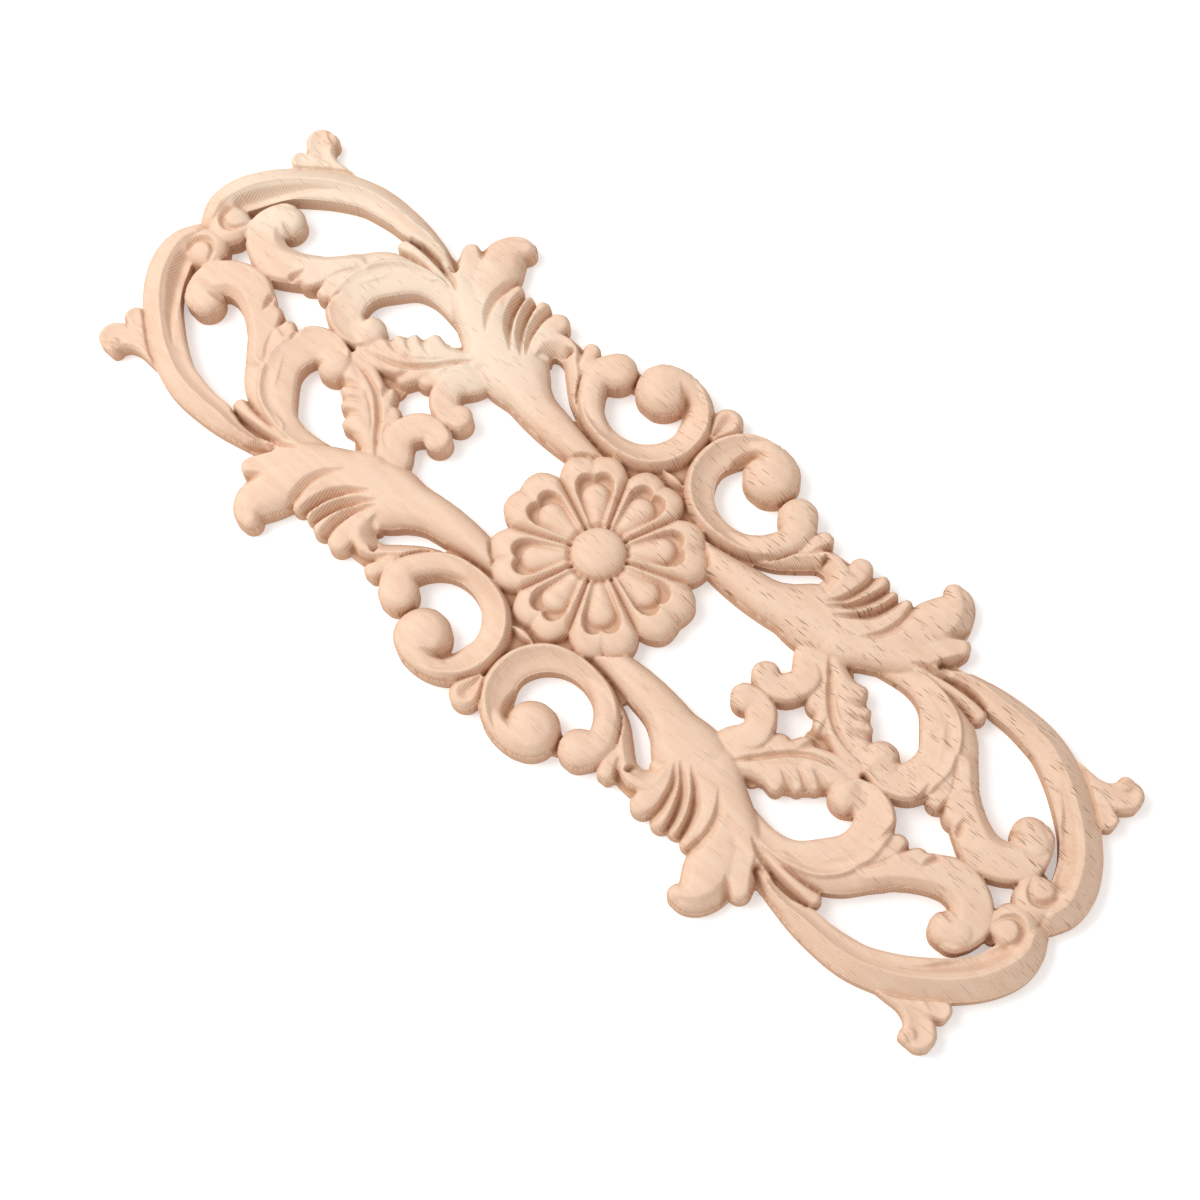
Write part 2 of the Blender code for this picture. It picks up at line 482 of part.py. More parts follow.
def sawn_blank(carving, collection):
    """The outline with its piercings, past both middle lines, as a slab taller than the carving."""
    xs, ys, _, inside = quarter_field(carving, -OVERLAP, OUTLINE_STEP)
    inside[0] = inside[-1] = -OUTLINE_STEP
    inside[:, 0] = inside[:, -1] = -OUTLINE_STEP
    curve = bpy.data.curves.new("blank_outline", "CURVE")
    curve.dimensions = "2D"
    curve.fill_mode = "BOTH"
    curve.extrude = BLANK_HEIGHT / 2 * MM
    for loop in contour_loops(inside, xs, ys):
        spline = curve.splines.new("POLY")
        spline.points.add(len(loop) - 1)
        for point, (x, y) in zip(spline.points, loop):
            point.co = (x * MM, y * MM, 0, 1)
        spline.use_cyclic_u = True
    outline = bpy.data.objects.new("blank_outline", curve)
    bpy.context.scene.collection.objects.link(outline)
    bpy.context.view_layer.update()
    mesh = bpy.data.meshes.new_from_object(outline.evaluated_get(bpy.context.evaluated_depsgraph_get()))
    form = bmesh.new()
    form.from_mesh(mesh)
    bmesh.ops.remove_doubles(form, verts=form.verts, dist=CURVE_WELD)
    bmesh.ops.recalc_face_normals(form, faces=form.faces)
    form.to_mesh(mesh)
    form.free()
    blank = bpy.data.objects.new("sawn_blank", mesh)
    blank.matrix_world = outline.matrix_world.copy()
    bpy.data.objects.remove(outline)
    blank.hide_render = True
    blank.display_type = "WIRE"
    collection.objects.link(blank)
    return blank


def carved_block(carving, material):
    """A quarter block whose top is the relief and whose underside is the flat back."""
    xs, ys, height, _ = quarter_field(carving, 0, GRID_STEP)
    form = bmesh.new()
    bmesh.ops.create_grid(form, x_segments=len(xs) - 1, y_segments=len(ys) - 1, size=1)
    form.verts.ensure_lookup_table()
    half_x = (len(xs) - 1) / 2
    half_y = (len(ys) - 1) / 2
    for vert in form.verts:
        column = round((vert.co.x + 1) * half_x)
        row = round((vert.co.y + 1) * half_y)
        vert.co = (xs[column] * MM, ys[row] * MM, height[row, column] * MM)
    rim = [edge for edge in form.edges if edge.is_boundary]
    walls = bmesh.ops.extrude_edge_only(form, edges=rim)["geom"]
    foot = [item for item in walls if isinstance(item, bmesh.types.BMVert)]
    for vert in foot:
        vert.co.z = 0
    foot_edges = [item for item in walls if isinstance(item, bmesh.types.BMEdge) and item.is_boundary]
    bmesh.ops.contextual_create(form, geom=foot_edges)
    bmesh.ops.recalc_face_normals(form, faces=form.faces)
    mesh = bpy.data.meshes.new(NAME)
    form.to_mesh(mesh)
    form.free()
    mesh.materials.append(material)
    return bpy.data.objects.new(NAME, mesh)


def saw_out(piece, blank):
    """Cut the block to the blank's outline and open it along both middle lines."""
    cut = piece.modifiers.new("sawn outline", "BOOLEAN")
    cut.operation = "INTERSECT"
    cut.object = blank
    bpy.context.view_layer.update()
    mesh = bpy.data.meshes.new_from_object(piece.evaluated_get(bpy.context.evaluated_depsgraph_get()))
    piece.modifiers.remove(cut)
    form = bmesh.new()
    form.from_mesh(mesh)
    joints = [face for face in form.faces
              if any(all(abs(vert.co[axis]) < SAME_PLACE for vert in face.verts) for axis in (0, 1))]
    bmesh.ops.delete(form, geom=joints, context="FACES")
    inner = [vert for vert in form.verts if min(abs(vert.co.x), abs(vert.co.y)) > SMALLEST_EDGE]
    bmesh.ops.remove_doubles(form, verts=inner, dist=SMALLEST_EDGE)
    bmesh.ops.triangulate(form, faces=form.faces)
    form.to_mesh(mesh)
    form.free()
    mesh.shade_smooth()
    mesh.set_sharp_from_angle(angle=math.radians(SHARP_EDGE_DEG))
    piece.data = mesh


def count_triangles(piece):
    bpy.context.view_layer.update()
    mesh = piece.evaluated_get(bpy.context.evaluated_depsgraph_get()).data
    return sum(len(polygon.vertices) - 2 for polygon in mesh.polygons)


def add_mirror(piece):
    mirror = piece.modifiers.new("both ways", "MIRROR")
    mirror.use_axis = (True, True, False)
    mirror.merge_threshold = SAME_PLACE


def pale_wood():
    material = bpy.data.materials.new("pale_wood")
    material.use_nodes = True
    shader = material.node_tree.nodes["Principled BSDF"]
    shader.inputs["Base Color"].default_value = (0.72, 0.50, 0.34, 1)
    shader.inputs["Roughness"].default_value = 0.7
    shader.inputs["Metallic"].default_value = 0.0
    return material


def main():
    for item in list(bpy.data.objects):
        bpy.data.objects.remove(item)
    parts = bpy.data.collections.new("wooden_applique")
    cutters = bpy.data.collections.new("cutters")
    for collection in (parts, cutters):
        bpy.context.scene.collection.children.link(collection)

    carving = Carving()
    for section in (ground, acanthus, feather, s_scroll, outer_scroll, ring_scroll, grooves):
        section(carving)

    piece = carved_block(carving, pale_wood())
    parts.objects.link(piece)
    saw_out(piece, sawn_blank(carving, cutters))
    add_mirror(piece)
    fine = count_triangles(piece)
    thin = piece.modifiers.new("fewer faces", "DECIMATE")
    thin.ratio = TRIANGLES / fine
    thin.use_collapse_triangulate = True
    print(NAME, "carved", fine, "triangles, kept", count_triangles(piece))


main()
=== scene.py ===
# %% [markdown]
# # A carved wooden applique
#
# The real object looks like one board of pale wood, taken here as 30 cm long, cut through along an
# outline of scrolls and leaves and carved on the front. The back is taken as flat, for gluing to a door,
# a drawer or a panel. In this lesson the whole ornament is one height over the back: it is drawn once,
# as a quarter, carved into a fine block, sawn out along its outline, and repeated four times.

import math

import bmesh
import bpy
import numpy as np
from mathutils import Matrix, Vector


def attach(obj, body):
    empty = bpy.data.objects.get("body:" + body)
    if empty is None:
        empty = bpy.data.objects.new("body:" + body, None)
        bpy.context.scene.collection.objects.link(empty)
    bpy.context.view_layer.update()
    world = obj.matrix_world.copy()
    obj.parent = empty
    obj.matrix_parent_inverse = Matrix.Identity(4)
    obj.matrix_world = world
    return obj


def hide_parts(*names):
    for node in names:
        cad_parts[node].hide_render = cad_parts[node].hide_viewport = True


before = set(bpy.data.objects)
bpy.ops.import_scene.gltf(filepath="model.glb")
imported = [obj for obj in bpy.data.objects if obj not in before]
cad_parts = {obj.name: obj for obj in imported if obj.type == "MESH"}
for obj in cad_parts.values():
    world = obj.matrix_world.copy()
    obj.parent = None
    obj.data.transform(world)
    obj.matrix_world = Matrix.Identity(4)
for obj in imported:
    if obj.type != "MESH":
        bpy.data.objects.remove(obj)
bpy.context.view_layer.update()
NAME = "carved_applique"

# %% [markdown]
# ## The view
#
# The piece lies on its back and a long lens looks down on it from the lower right corner, 22 degrees
# off the vertical. A long lens keeps both ends nearly the same size, as in a catalogue picture.

# %% Camera
LENS_MM = 75.13
SENSOR_MM = 36.0
CAMERA_PLACE = (0.17672, -0.15546, 0.59503)
CAMERA_TURN_DEG = (20.598, 2.412, 42.518)

lens = bpy.data.cameras.new("view")
lens.lens = LENS_MM
lens.sensor_width = SENSOR_MM
camera = bpy.data.objects.new("view", lens)
camera.location = CAMERA_PLACE
camera.rotation_euler = [math.radians(angle) for angle in CAMERA_TURN_DEG]
bpy.context.scene.collection.objects.link(camera)
bpy.context.scene.camera = camera
print("camera", round(Vector(CAMERA_PLACE).length, 3), "m from the flower")

# %% [markdown]
# ## Floor and light
#
# Such a piece is shown in a white tent: light comes from everywhere, and a little more of it from the
# left and above, so that each slope still gets its own tone. The floor is one pale sheet.

# %% Floor, tent and lamp
FLOOR_REACH = 30.0
FLOOR_DROP = 0.0001
PAPER_WHITE = 0.85
PAPER_ROUGHNESS = 0.9
PAPER_GLOW = 0.35
TENT_STRENGTH = 0.66
LAMP_PLACE = (-0.70, -0.35, 0.95)
LAMP_SIZE = 0.9
LAMP_POWER = 11


def plain_floor():
    form = bmesh.new()
    bmesh.ops.create_grid(form, x_segments=2, y_segments=2, size=FLOOR_REACH)
    mesh = bpy.data.meshes.new("floor")
    form.to_mesh(mesh)
    form.free()
    paper = bpy.data.materials.new("white_paper")
    paper.use_nodes = True
    shader = paper.node_tree.nodes["Principled BSDF"]
    shader.inputs["Base Color"].default_value = (PAPER_WHITE, PAPER_WHITE, PAPER_WHITE, 1)
    shader.inputs["Roughness"].default_value = PAPER_ROUGHNESS
    shader.inputs["Emission Color"].default_value = (1.0, 1.0, 1.0, 1)
    shader.inputs["Emission Strength"].default_value = PAPER_GLOW
    mesh.materials.append(paper)
    floor = bpy.data.objects.new("floor", mesh)
    floor.location.z = -FLOOR_DROP
    bpy.context.scene.collection.objects.link(floor)
    return floor


def lamp(name, place, size, power):
    light = bpy.data.lights.new(name, "AREA")
    light.size = size
    light.energy = power
    item = bpy.data.objects.new(name, light)
    item.location = place
    item.rotation_euler = (-Vector(place)).to_track_quat("-Z", "Y").to_euler()
    bpy.context.scene.collection.objects.link(item)
    return item


floor = plain_floor()
tent = bpy.data.worlds.new("tent")
tent.use_nodes = True
tent.node_tree.nodes["Background"].inputs["Color"].default_value = (1.0, 1.0, 1.0, 1)
tent.node_tree.nodes["Background"].inputs["Strength"].default_value = TENT_STRENGTH
bpy.context.scene.world = tent
bpy.context.scene.view_settings.view_transform = "Standard"
lamp("soft_lamp_left", LAMP_PLACE, LAMP_SIZE, LAMP_POWER)
print("floor", floor.dimensions.x, "m wide, one soft lamp and a tent")

# %% [markdown]
# ## Strokes
#
# A carver thinks in strokes: a stem, a leaf, a scroll. Here a stroke is a smooth line of rows, each
# with a place and a half width, and it carries a cross-section from its right edge to its left edge.
# Drawing on a grid of heights, rather than joining solids, lets one stroke run into another as they
# do in one piece of wood.

# %% A smooth line through a few rows
def smooth_path(rows, spacing=0.5):
    """Rows along a smooth curve through the given rows (Catmull-Rom)."""
    rows = np.array(rows, float)
    if len(rows) == 1:
        return np.vstack([rows, rows])
    ends = np.vstack([2 * rows[0] - rows[1], rows, 2 * rows[-1] - rows[-2]])
    pieces = []
    for a, b, c, d in zip(ends, ends[1:], ends[2:], ends[3:]):
        count = max(2, int(np.hypot(*(c - b)[:2]) / spacing))
        t = np.linspace(0, 1, count, endpoint=False)[:, None]
        pieces.append(0.5 * (2 * b + (c - a) * t + (2 * a - 5 * b + 4 * c - d) * t**2
                             + (3 * b - a - 3 * c + d) * t**3))
    return np.vstack(pieces + [rows[-1:]])


print("a test line has", len(smooth_path([(0, 0, 1), (10, 0, 2)])), "rows")

# %% Where a point lies on a stroke
def follow(rows, x, y):
    """Each point's depth inside a stroke, its place across, and the nearest row's width and lift."""
    path = smooth_path(rows)
    line_x, line_y, width = path.T[:3]
    lift = path[:, 3] if path.shape[1] > 3 else np.zeros(len(path))
    reach = width.max()
    inside = np.full(x.shape, -reach)
    across = np.zeros(x.shape)
    fullness = np.ones(x.shape)
    raised = np.zeros(x.shape)
    near = ((x > line_x.min() - reach) & (x < line_x.max() + reach)
            & (y > line_y.min() - reach) & (y < line_y.max() + reach))
    if near.any():
        dx = x[near][:, None] - line_x
        dy = y[near][:, None] - line_y
        distance = np.hypot(dx, dy)
        inside[near] = (width - distance).max(axis=1)
        points = np.arange(len(dx))
        nearest = np.argmin(distance / width, axis=1)
        along_x = np.gradient(line_x)[nearest]
        along_y = np.gradient(line_y)[nearest]
        left = along_x * dy[points, nearest] - along_y * dx[points, nearest] >= 0
        across[near] = np.where(left, 1, -1) * np.minimum(distance[points, nearest] / width[nearest], 1)
        fullness[near] = width[nearest] / reach
        raised[near] = lift[nearest]
    return inside, across, fullness, raised


depth_in, share_across, _, _ = follow([(0, 0, 2), (10, 0, 2)], np.array([5.0]), np.array([1.0]))
print("1 mm off the line of a stroke 4 mm wide:", depth_in[0], "mm inside, across", share_across[0])

# %% The height of a cross-section
def section_height(section, across):
    """Height of a cross-section, drawn as a smooth line through its points."""
    line = smooth_path([(place, height, 0) for place, height in section], spacing=0.05)
    return np.interp(across, line[:, 0], line[:, 1])


def fade(value, start, end):
    """0 before start, 1 after end, straight in between."""
    return np.clip((value - start) / (end - start), 0, 1)


roof = ((-1, 0), (0, 2), (1, 0))
print("halfway down a roof 2 mm high:", round(float(section_height(roof, 0.5)), 2), "mm")

# %% The order of the strokes
class Carving:
    """Strokes in the order they are carved: laid over, grown from, or cut into what is there.

    A row is (x, y, half width) and may end in a lift, which raises or sinks the section there.
    """

    def __init__(self):
        self.strokes = []

    def lay(self, rows, section):
        self.strokes.append((rows, section, "lay"))

    def grow(self, rows, section):
        self.strokes.append((rows, section, "grow"))

    def cut(self, rows, depth, lean=0.0):
        """A V groove; lean moves its deepest line towards the left (1) or the right (-1) side."""
        self.strokes.append((rows, (depth, lean), "cut"))

    def hollow(self, rows, depth):
        self.strokes.append((rows, depth, "hollow"))


carving = Carving()
print("a blank board with", len(carving.strokes), "strokes")

# %% [markdown]
# ## Cross-sections
#
# Each kind of form has its own section: a round bead, a stem with a soft ridge, the outer scroll with
# a crisp ridge between a steep outer bevel and a hollow inner face, a leaf with a vein. All sizes in
# these cells are millimetres over the back.

# %% Sections
FLOOR = ((-1, 2.3), (0, 2.6), (1, 2.3))
LOBE = ((-1, 4.6), (-0.92, 5.8), (-0.75, 6.7), (-0.45, 7.1), (0, 7.2), (0.45, 7.1), (0.75, 6.7),
        (0.92, 5.8), (1, 4.6))
BEAD = ((-1, 4.0), (-0.85, 5.2), (-0.5, 6.6), (0, 7.2), (0.5, 6.6), (0.85, 5.2), (1, 4.0))
KNOB = ((-1, 4.6), (-0.9, 6.2), (-0.6, 7.3), (-0.25, 7.7), (0, 7.8), (0.25, 7.7), (0.6, 7.3),
        (0.9, 6.2), (1, 4.6))
BALL = ((-1, 4.2), (-0.93, 5.8), (-0.7, 7.6), (-0.35, 8.5), (0, 8.8), (0.35, 8.5), (0.7, 7.6),
        (0.93, 5.8), (1, 4.2))
STEM = ((-1, 3.8), (-0.88, 5.6), (-0.68, 6.8), (-0.35, 7.6), (0, 7.8), (0.4, 7.6), (0.65, 7.0),
        (0.88, 5.8), (1, 4.2))
OUTER = ((-1, 5.2), (-0.9, 6.0), (-0.5, 6.4), (-0.12, 7.3), (0, 7.8), (0.1, 7.7), (0.6, 5.7),
         (0.93, 4.3), (1, 3.8))
BEVEL = ((-1, 7.2), (-0.4, 7.0), (0.3, 6.4), (0.8, 5.3), (1, 4.4))
ARM = ((-1, 4.8), (-0.94, 6.0), (-0.82, 6.6), (-0.5, 6.9), (0.3, 7.3), (0.55, 7.2), (0.92, 5.6),
       (1, 4.8))
CURL = ((-1, 5.0), (-0.9, 6.2), (-0.5, 6.9), (0, 7.1), (0.5, 7.2), (0.8, 7.0), (0.94, 6.2), (1, 5.0))
HOOK = ((-1, 5.0), (-0.9, 6.0), (-0.5, 6.6), (0, 6.9), (0.5, 7.4), (0.76, 7.9), (0.86, 7.7),
        (0.95, 6.8), (1, 5.8))
RING = ((-1, 4.0), (-0.9, 5.3), (-0.72, 7.2), (-0.6, 7.8), (-0.5, 7.7), (-0.2, 6.8), (0.3, 5.7),
        (0.8, 4.9), (1, 4.3))
STRIP = ((-1, 3.4), (-0.6, 5.2), (-0.1, 6.5), (0.15, 6.9), (0.4, 6.7), (0.85, 5.4), (1, 4.4))
ARCH = ((-1, 3.4), (-0.7, 4.4), (-0.2, 6.0), (0.3, 7.0), (0.6, 7.1), (1, 6.9))
LEAF = ((-1, 4.2), (-0.9, 5.2), (-0.6, 6.2), (-0.2, 6.5), (0, 6.4), (0.2, 6.7), (0.6, 6.7),
        (0.9, 5.5), (1, 4.2))
DISH = ((-1, 3.9), (-0.88, 5.2), (-0.72, 5.6), (-0.4, 5.3), (0, 5.1), (0.4, 5.3), (0.72, 5.6),
        (0.88, 5.2), (1, 3.9))
TROUGH = ((-1, 4.0), (-0.75, 5.8), (-0.5, 6.1), (-0.1, 5.0), (0, 4.7), (0.1, 5.0), (0.5, 6.1),
          (0.75, 5.8), (1, 4.0))
print("a ball is", max(height for _, height in BALL), "mm high, the low ground",
      max(height for _, height in FLOOR), "mm")

# %% [markdown]
# ## The ornament
#
# Only the quarter to the right of the flower and above it is drawn. Later strokes lie over earlier
# ones, as the upper layers of the real carving do, and the grooves are cut last.

# %% Low ground, stem and leaf
def ground(carving):
    """Low ground between the pieces that are joined side by side, with the bud beside the flower."""
    carving.grow([(0, 27, 4), (8, 24, 3.5), (16, 22, 3.2), (24, 22, 2.2), (29.8, 23.8, 1.1)], FLOOR)
    carving.grow([(34, 33, 3), (40, 37, 3), (46, 38.3, 2.8), (52, 38, 3)], FLOOR)
    carving.grow([(0, 30, 3.0), (0, 36, 1.5), (0, 44, 1.5)], FLOOR)
    carving.grow([(128, 5.5, 2.0), (134, 6.2, 2.4)], FLOOR)
    carving.grow([(136, 9.2, 1.9)], FLOOR)
    carving.grow([(84, 33.4, 1.6), (88, 33.6, 1.6), (92, 32.8, 2.4), (97, 32.6, 2.0)], FLOOR)
    carving.grow([(64, 17, 4), (67, 17.4, 2.5)], FLOOR)
    carving.grow([(71, 0.4, 1.4), (78, 0, 1.8), (86, 0, 1.2), (92, 0, 1.6)], FLOOR)
    carving.grow([(25.8, 43.2, 2.6)], FLOOR)
    carving.grow([(-3, 28.2, 0.6, -1.6), (0, 28.2, 1.5, -1.2), (3, 28.2, 0.6, -1.6)], BEAD)


def acanthus(carving):
    """The stem out of the flower and the leaf that it opens into."""
    carving.grow([(37, 33.5, 1.6, -1.5), (38.9, 37.5, 2.4, -0.8), (40.1, 40.9, 2.5, -0.6)], LOBE)
    for root, middle, tip in (
            ((52, 27, 4.6, -0.3), (52.6, 35, 4.0, -0.2), (52.1, 41, 3.2, -0.6)),
            ((54, 26, 5.0, -0.3), (56.9, 35, 3.4, -0.2), (58.2, 41, 2.8, -0.6)),
            ((58, 26, 5.0, -0.3), (61, 35, 3.2, -0.2), (62.3, 39.8, 2.5, -0.6)),
            ((62, 26, 5.0, -0.3), (65.4, 35, 3.4, -0.2), (66.9, 40.3, 2.5, -0.6)),
            ((74, 30, 5.0, -0.2), (80.5, 37, 4.6, -0.2), (83.8, 41.2, 3.1, -0.6))):
        carving.grow([root, middle, tip], LOBE)
    carving.grow([(60, 23, 7, -0.2), (67, 29.5, 7.4, -0.1), (73.5, 37, 7.4, -0.2),
                  (76.1, 43, 7.1, -0.3), (76.9, 47.5, 5.5, -0.5), (75.8, 50.6, 4.0, -0.8),
                  (73.6, 51.9, 2.8, -1.0)], STEM)
    carving.grow([(18, 18.6, 3.0, -1.5), (25, 18.4, 4.0, -0.4), (33, 18.9, 4.9, 0),
                  (40, 19.8, 5.4, 0), (46, 21.8, 6.7, 0), (53, 24.2, 9.4, 0), (60, 26, 8.4, 0.1),
                  (68, 28, 6.4, 0), (76, 30.8, 4.8, -0.2), (83, 33.8, 3.2, -0.7),
                  (88, 35.8, 2.2, -1.4)], STEM)


ground(carving)
acanthus(carving)
print(len(carving.strokes), "strokes with the stem and its leaf")

# %% The small leaf on the middle line
def feather(carving):
    """The small leaf that points along the middle line."""
    carving.grow([(60, 18, 3.4, -0.8), (66, 13.4, 5.4, -0.3), (71.5, 10.2, 6.6, 0),
                  (77, 6.8, 5.9, 0), (82, 4.2, 4, -0.2), (87, 2, 1.4, -1.0)], LEAF)
    for root, tip in (
            ((70, 14, 3.4, -0.6), (73.2, 15.9, 2.1, -0.9)),
            ((74, 10.5, 3.4, -0.4), (77.2, 12.5, 2.0, -0.7)),
            ((77, 7.5, 3.0, -0.4), (80.4, 9.5, 1.9, -0.8)),
            ((65.4, 12, 4.2, -0.7), (67.2, 7.7, 3.6, -1.2)),
            ((70, 8.4, 3.6, -0.7), (72.0, 3.5, 2.8, -1.1))):
        carving.grow([root, tip], LOBE)
    carving.grow([(75, 4, 2.5, -0.6), (80, 2, 2.5, -0.8), (86, 0.8, 1.6, -1.2)], LOBE)


feather(carving)
print(len(carving.strokes), "strokes with the small leaf")

# %% The double scroll inside the frame
def s_scroll(carving):
    """The double scroll inside the frame, its serrated arm and its two curls."""
    carving.lay([(86, 28.8, 1.2), (91, 28.4, 2.0), (95.5, 26.6, 3.1), (99.6, 22.4, 4.6),
                 (103.5, 17, 5.1), (106, 14.4, 5.0)], BEVEL)
    for root, tip in (
            ((105, 13, 5.0, -0.4), (105.0, 7.6, 2.9, -0.5)),
            ((109.5, 11, 5.0, -0.3), (110.8, 7.3, 3.2, -0.4))):
        carving.grow([root, tip], LOBE)
    carving.grow([(103.5, 17, 5.1), (108, 12.4, 4.8), (112.5, 9.3, 4.6), (117, 6.6, 4.9),
                  (121.5, 5, 5.4), (126.5, 6.2, 5.2), (130, 9.6, 5.2), (130.6, 13.2, 4.3),
                  (129.2, 15.6, 4.4)], ARM)
    carving.grow([(130, 14.5, 4.3), (127.2, 15.5, 4.7)], KNOB)
    carving.grow([(57, 22, 5.0, -3.0), (58.6, 15.6, 5.2, -1.0), (60.4, 12.2, 4.7, -0.4),
                  (60.8, 8.4, 4.0, 0), (58.8, 4.6, 4.0, 0), (55.5, 3, 3.4, 0),
                  (52.8, 3.9, 3.7, 0.2)], CURL)
    carving.grow([(68, 24.2, 2.0, -2.4), (75, 26.0, 2.3, -1.8), (82, 27.2, 3.0, -0.9),
                  (88.4, 26, 3.8, -0.2), (93.9, 22.4, 5.2, 0), (97.8, 17, 5.2, 0),
                  (98.6, 11.5, 5.1, 0), (97, 6.4, 5.1, -0.2), (93, 3.8, 4.2, -0.5),
                  (89.5, 3.9, 3.7, -1.0)], HOOK)
    carving.grow([(91, 5.2, 4.0, -1.2), (88.0, 6.3, 4.8, -0.3)], KNOB)
    carving.grow([(79, 30.2, 0.8, -1.6), (85, 31.0, 1.3, -0.9), (91, 31.6, 1.7, -0.6),
                  (96, 31.4, 2.1, -0.8), (98.5, 31, 2.1, -1.2)], LOBE)


s_scroll(carving)
print(len(carving.strokes), "strokes with the double scroll")

# %% The long outer scroll and the ring
def outer_scroll(carving):
    """The long outer scroll, the spray of two lobes on its shoulder and the volute at its end."""
    carving.lay([(116, 36.5, 1.5), (125.5, 36, 2.0), (131, 34.8, 3.1), (135.5, 36, 3.6),
                 (138.5, 39.1, 4.1)], DISH)
    carving.grow([(132, 33, 3), (138.3, 31.5, 3.0)], DISH)
    carving.grow([(136.6, 41, 2.4, -1.4)], KNOB)
    carving.lay([(84, 34.8, 1.2, -1.5), (88, 36, 1.8, -0.8), (95, 37, 2.5, -0.2),
                 (100, 36.8, 3.6, 0), (106, 37, 3.9, 0), (112, 36.6, 4.3, 0), (117.8, 35.4, 4.5, 0),
                 (125.5, 31.9, 5.0, 0), (132.2, 27.2, 5.1, 0), (136.8, 23.2, 5.2, 0),
                 (140.8, 18.2, 5.4, 0), (143.4, 12.6, 5.6, 0), (144.4, 7.6, 4.8, 0),
                 (143.2, 3.2, 4.0, -0.3)], OUTER)
    carving.hollow([(124, 30.8, 0.3), (130, 26, 1.2), (134.5, 20.4, 2.2), (137.8, 15.4, 2.9),
                    (140.4, 10.8, 2.4)], 2.2)
    carving.grow([(138.3, 4.5, 5.8)], KNOB)


def ring_scroll(carving):
    """The scroll rolled into a ring beside the flower, its ball, its head and its hooked link."""
    carving.grow([(25, 24.5, 0.9, -1.4), (30, 26.3, 1.5, -1.0), (34.2, 29.1, 2.3, -0.6),
                  (38.2, 32.6, 2.6, -0.3), (42, 35.8, 2.6, -0.2), (45, 37, 2.6, -0.4)], STRIP)
    carving.grow([(40, 34.4, 2.2, -1.6), (43, 36.4, 2.6, -0.3), (46.2, 37, 2.9, 0)], ARCH)
    carving.lay([(46.2, 37, 2.9, 0), (48.2, 36.3, 3.0, 0), (49.6, 34.6, 3.0, 0),
                 (49.8, 32.4, 2.4, 0)], ARCH)
    carving.grow([(50, 30.5, 2.4, -1.0), (47.6, 31.8, 1.2, -1.8)], LOBE)
    carving.lay([(17, 50.4, 3.0, -1.6), (13, 50, 3.3, -0.6), (9.2, 47.9, 4.0, 0),
                 (5.6, 43.9, 4.5, 0), (4, 38.4, 4.2, 0), (5.2, 33, 4.1, 0), (9, 28.4, 3.8, 0),
                 (14.5, 25.9, 3.2, 0), (20.5, 25.5, 2.9, 0), (26.3, 26.9, 3.2, -0.3),
                 (31, 30.2, 3.4, -0.8), (33.9, 35, 3.6, -1.4), (33.2, 38.8, 4.4, -1.8)], RING)
    carving.grow([(20, 25.6, 2.0, -2.0), (25.5, 26.9, 2.8, -1.0), (30.4, 30.1, 3.4, -0.4),
                  (33.6, 35, 3.8, 0), (33.4, 38.6, 4.5, 0.2), (31, 41.2, 5.2, 0.4)], KNOB)
    carving.grow([(8, 48, 2.6, -2.2), (13, 49.6, 3.6, -1.2), (17, 47.8, 5.6, -0.4),
                  (18.6, 45.3, 7.5, 0)], BALL)
    carving.lay([(0, 44, 1.2), (0, 47, 3.0), (0, 49.2, 4.2)], TROUGH)


outer_scroll(carving)
ring_scroll(carving)
print(len(carving.strokes), "strokes with the outer scroll and the ring")

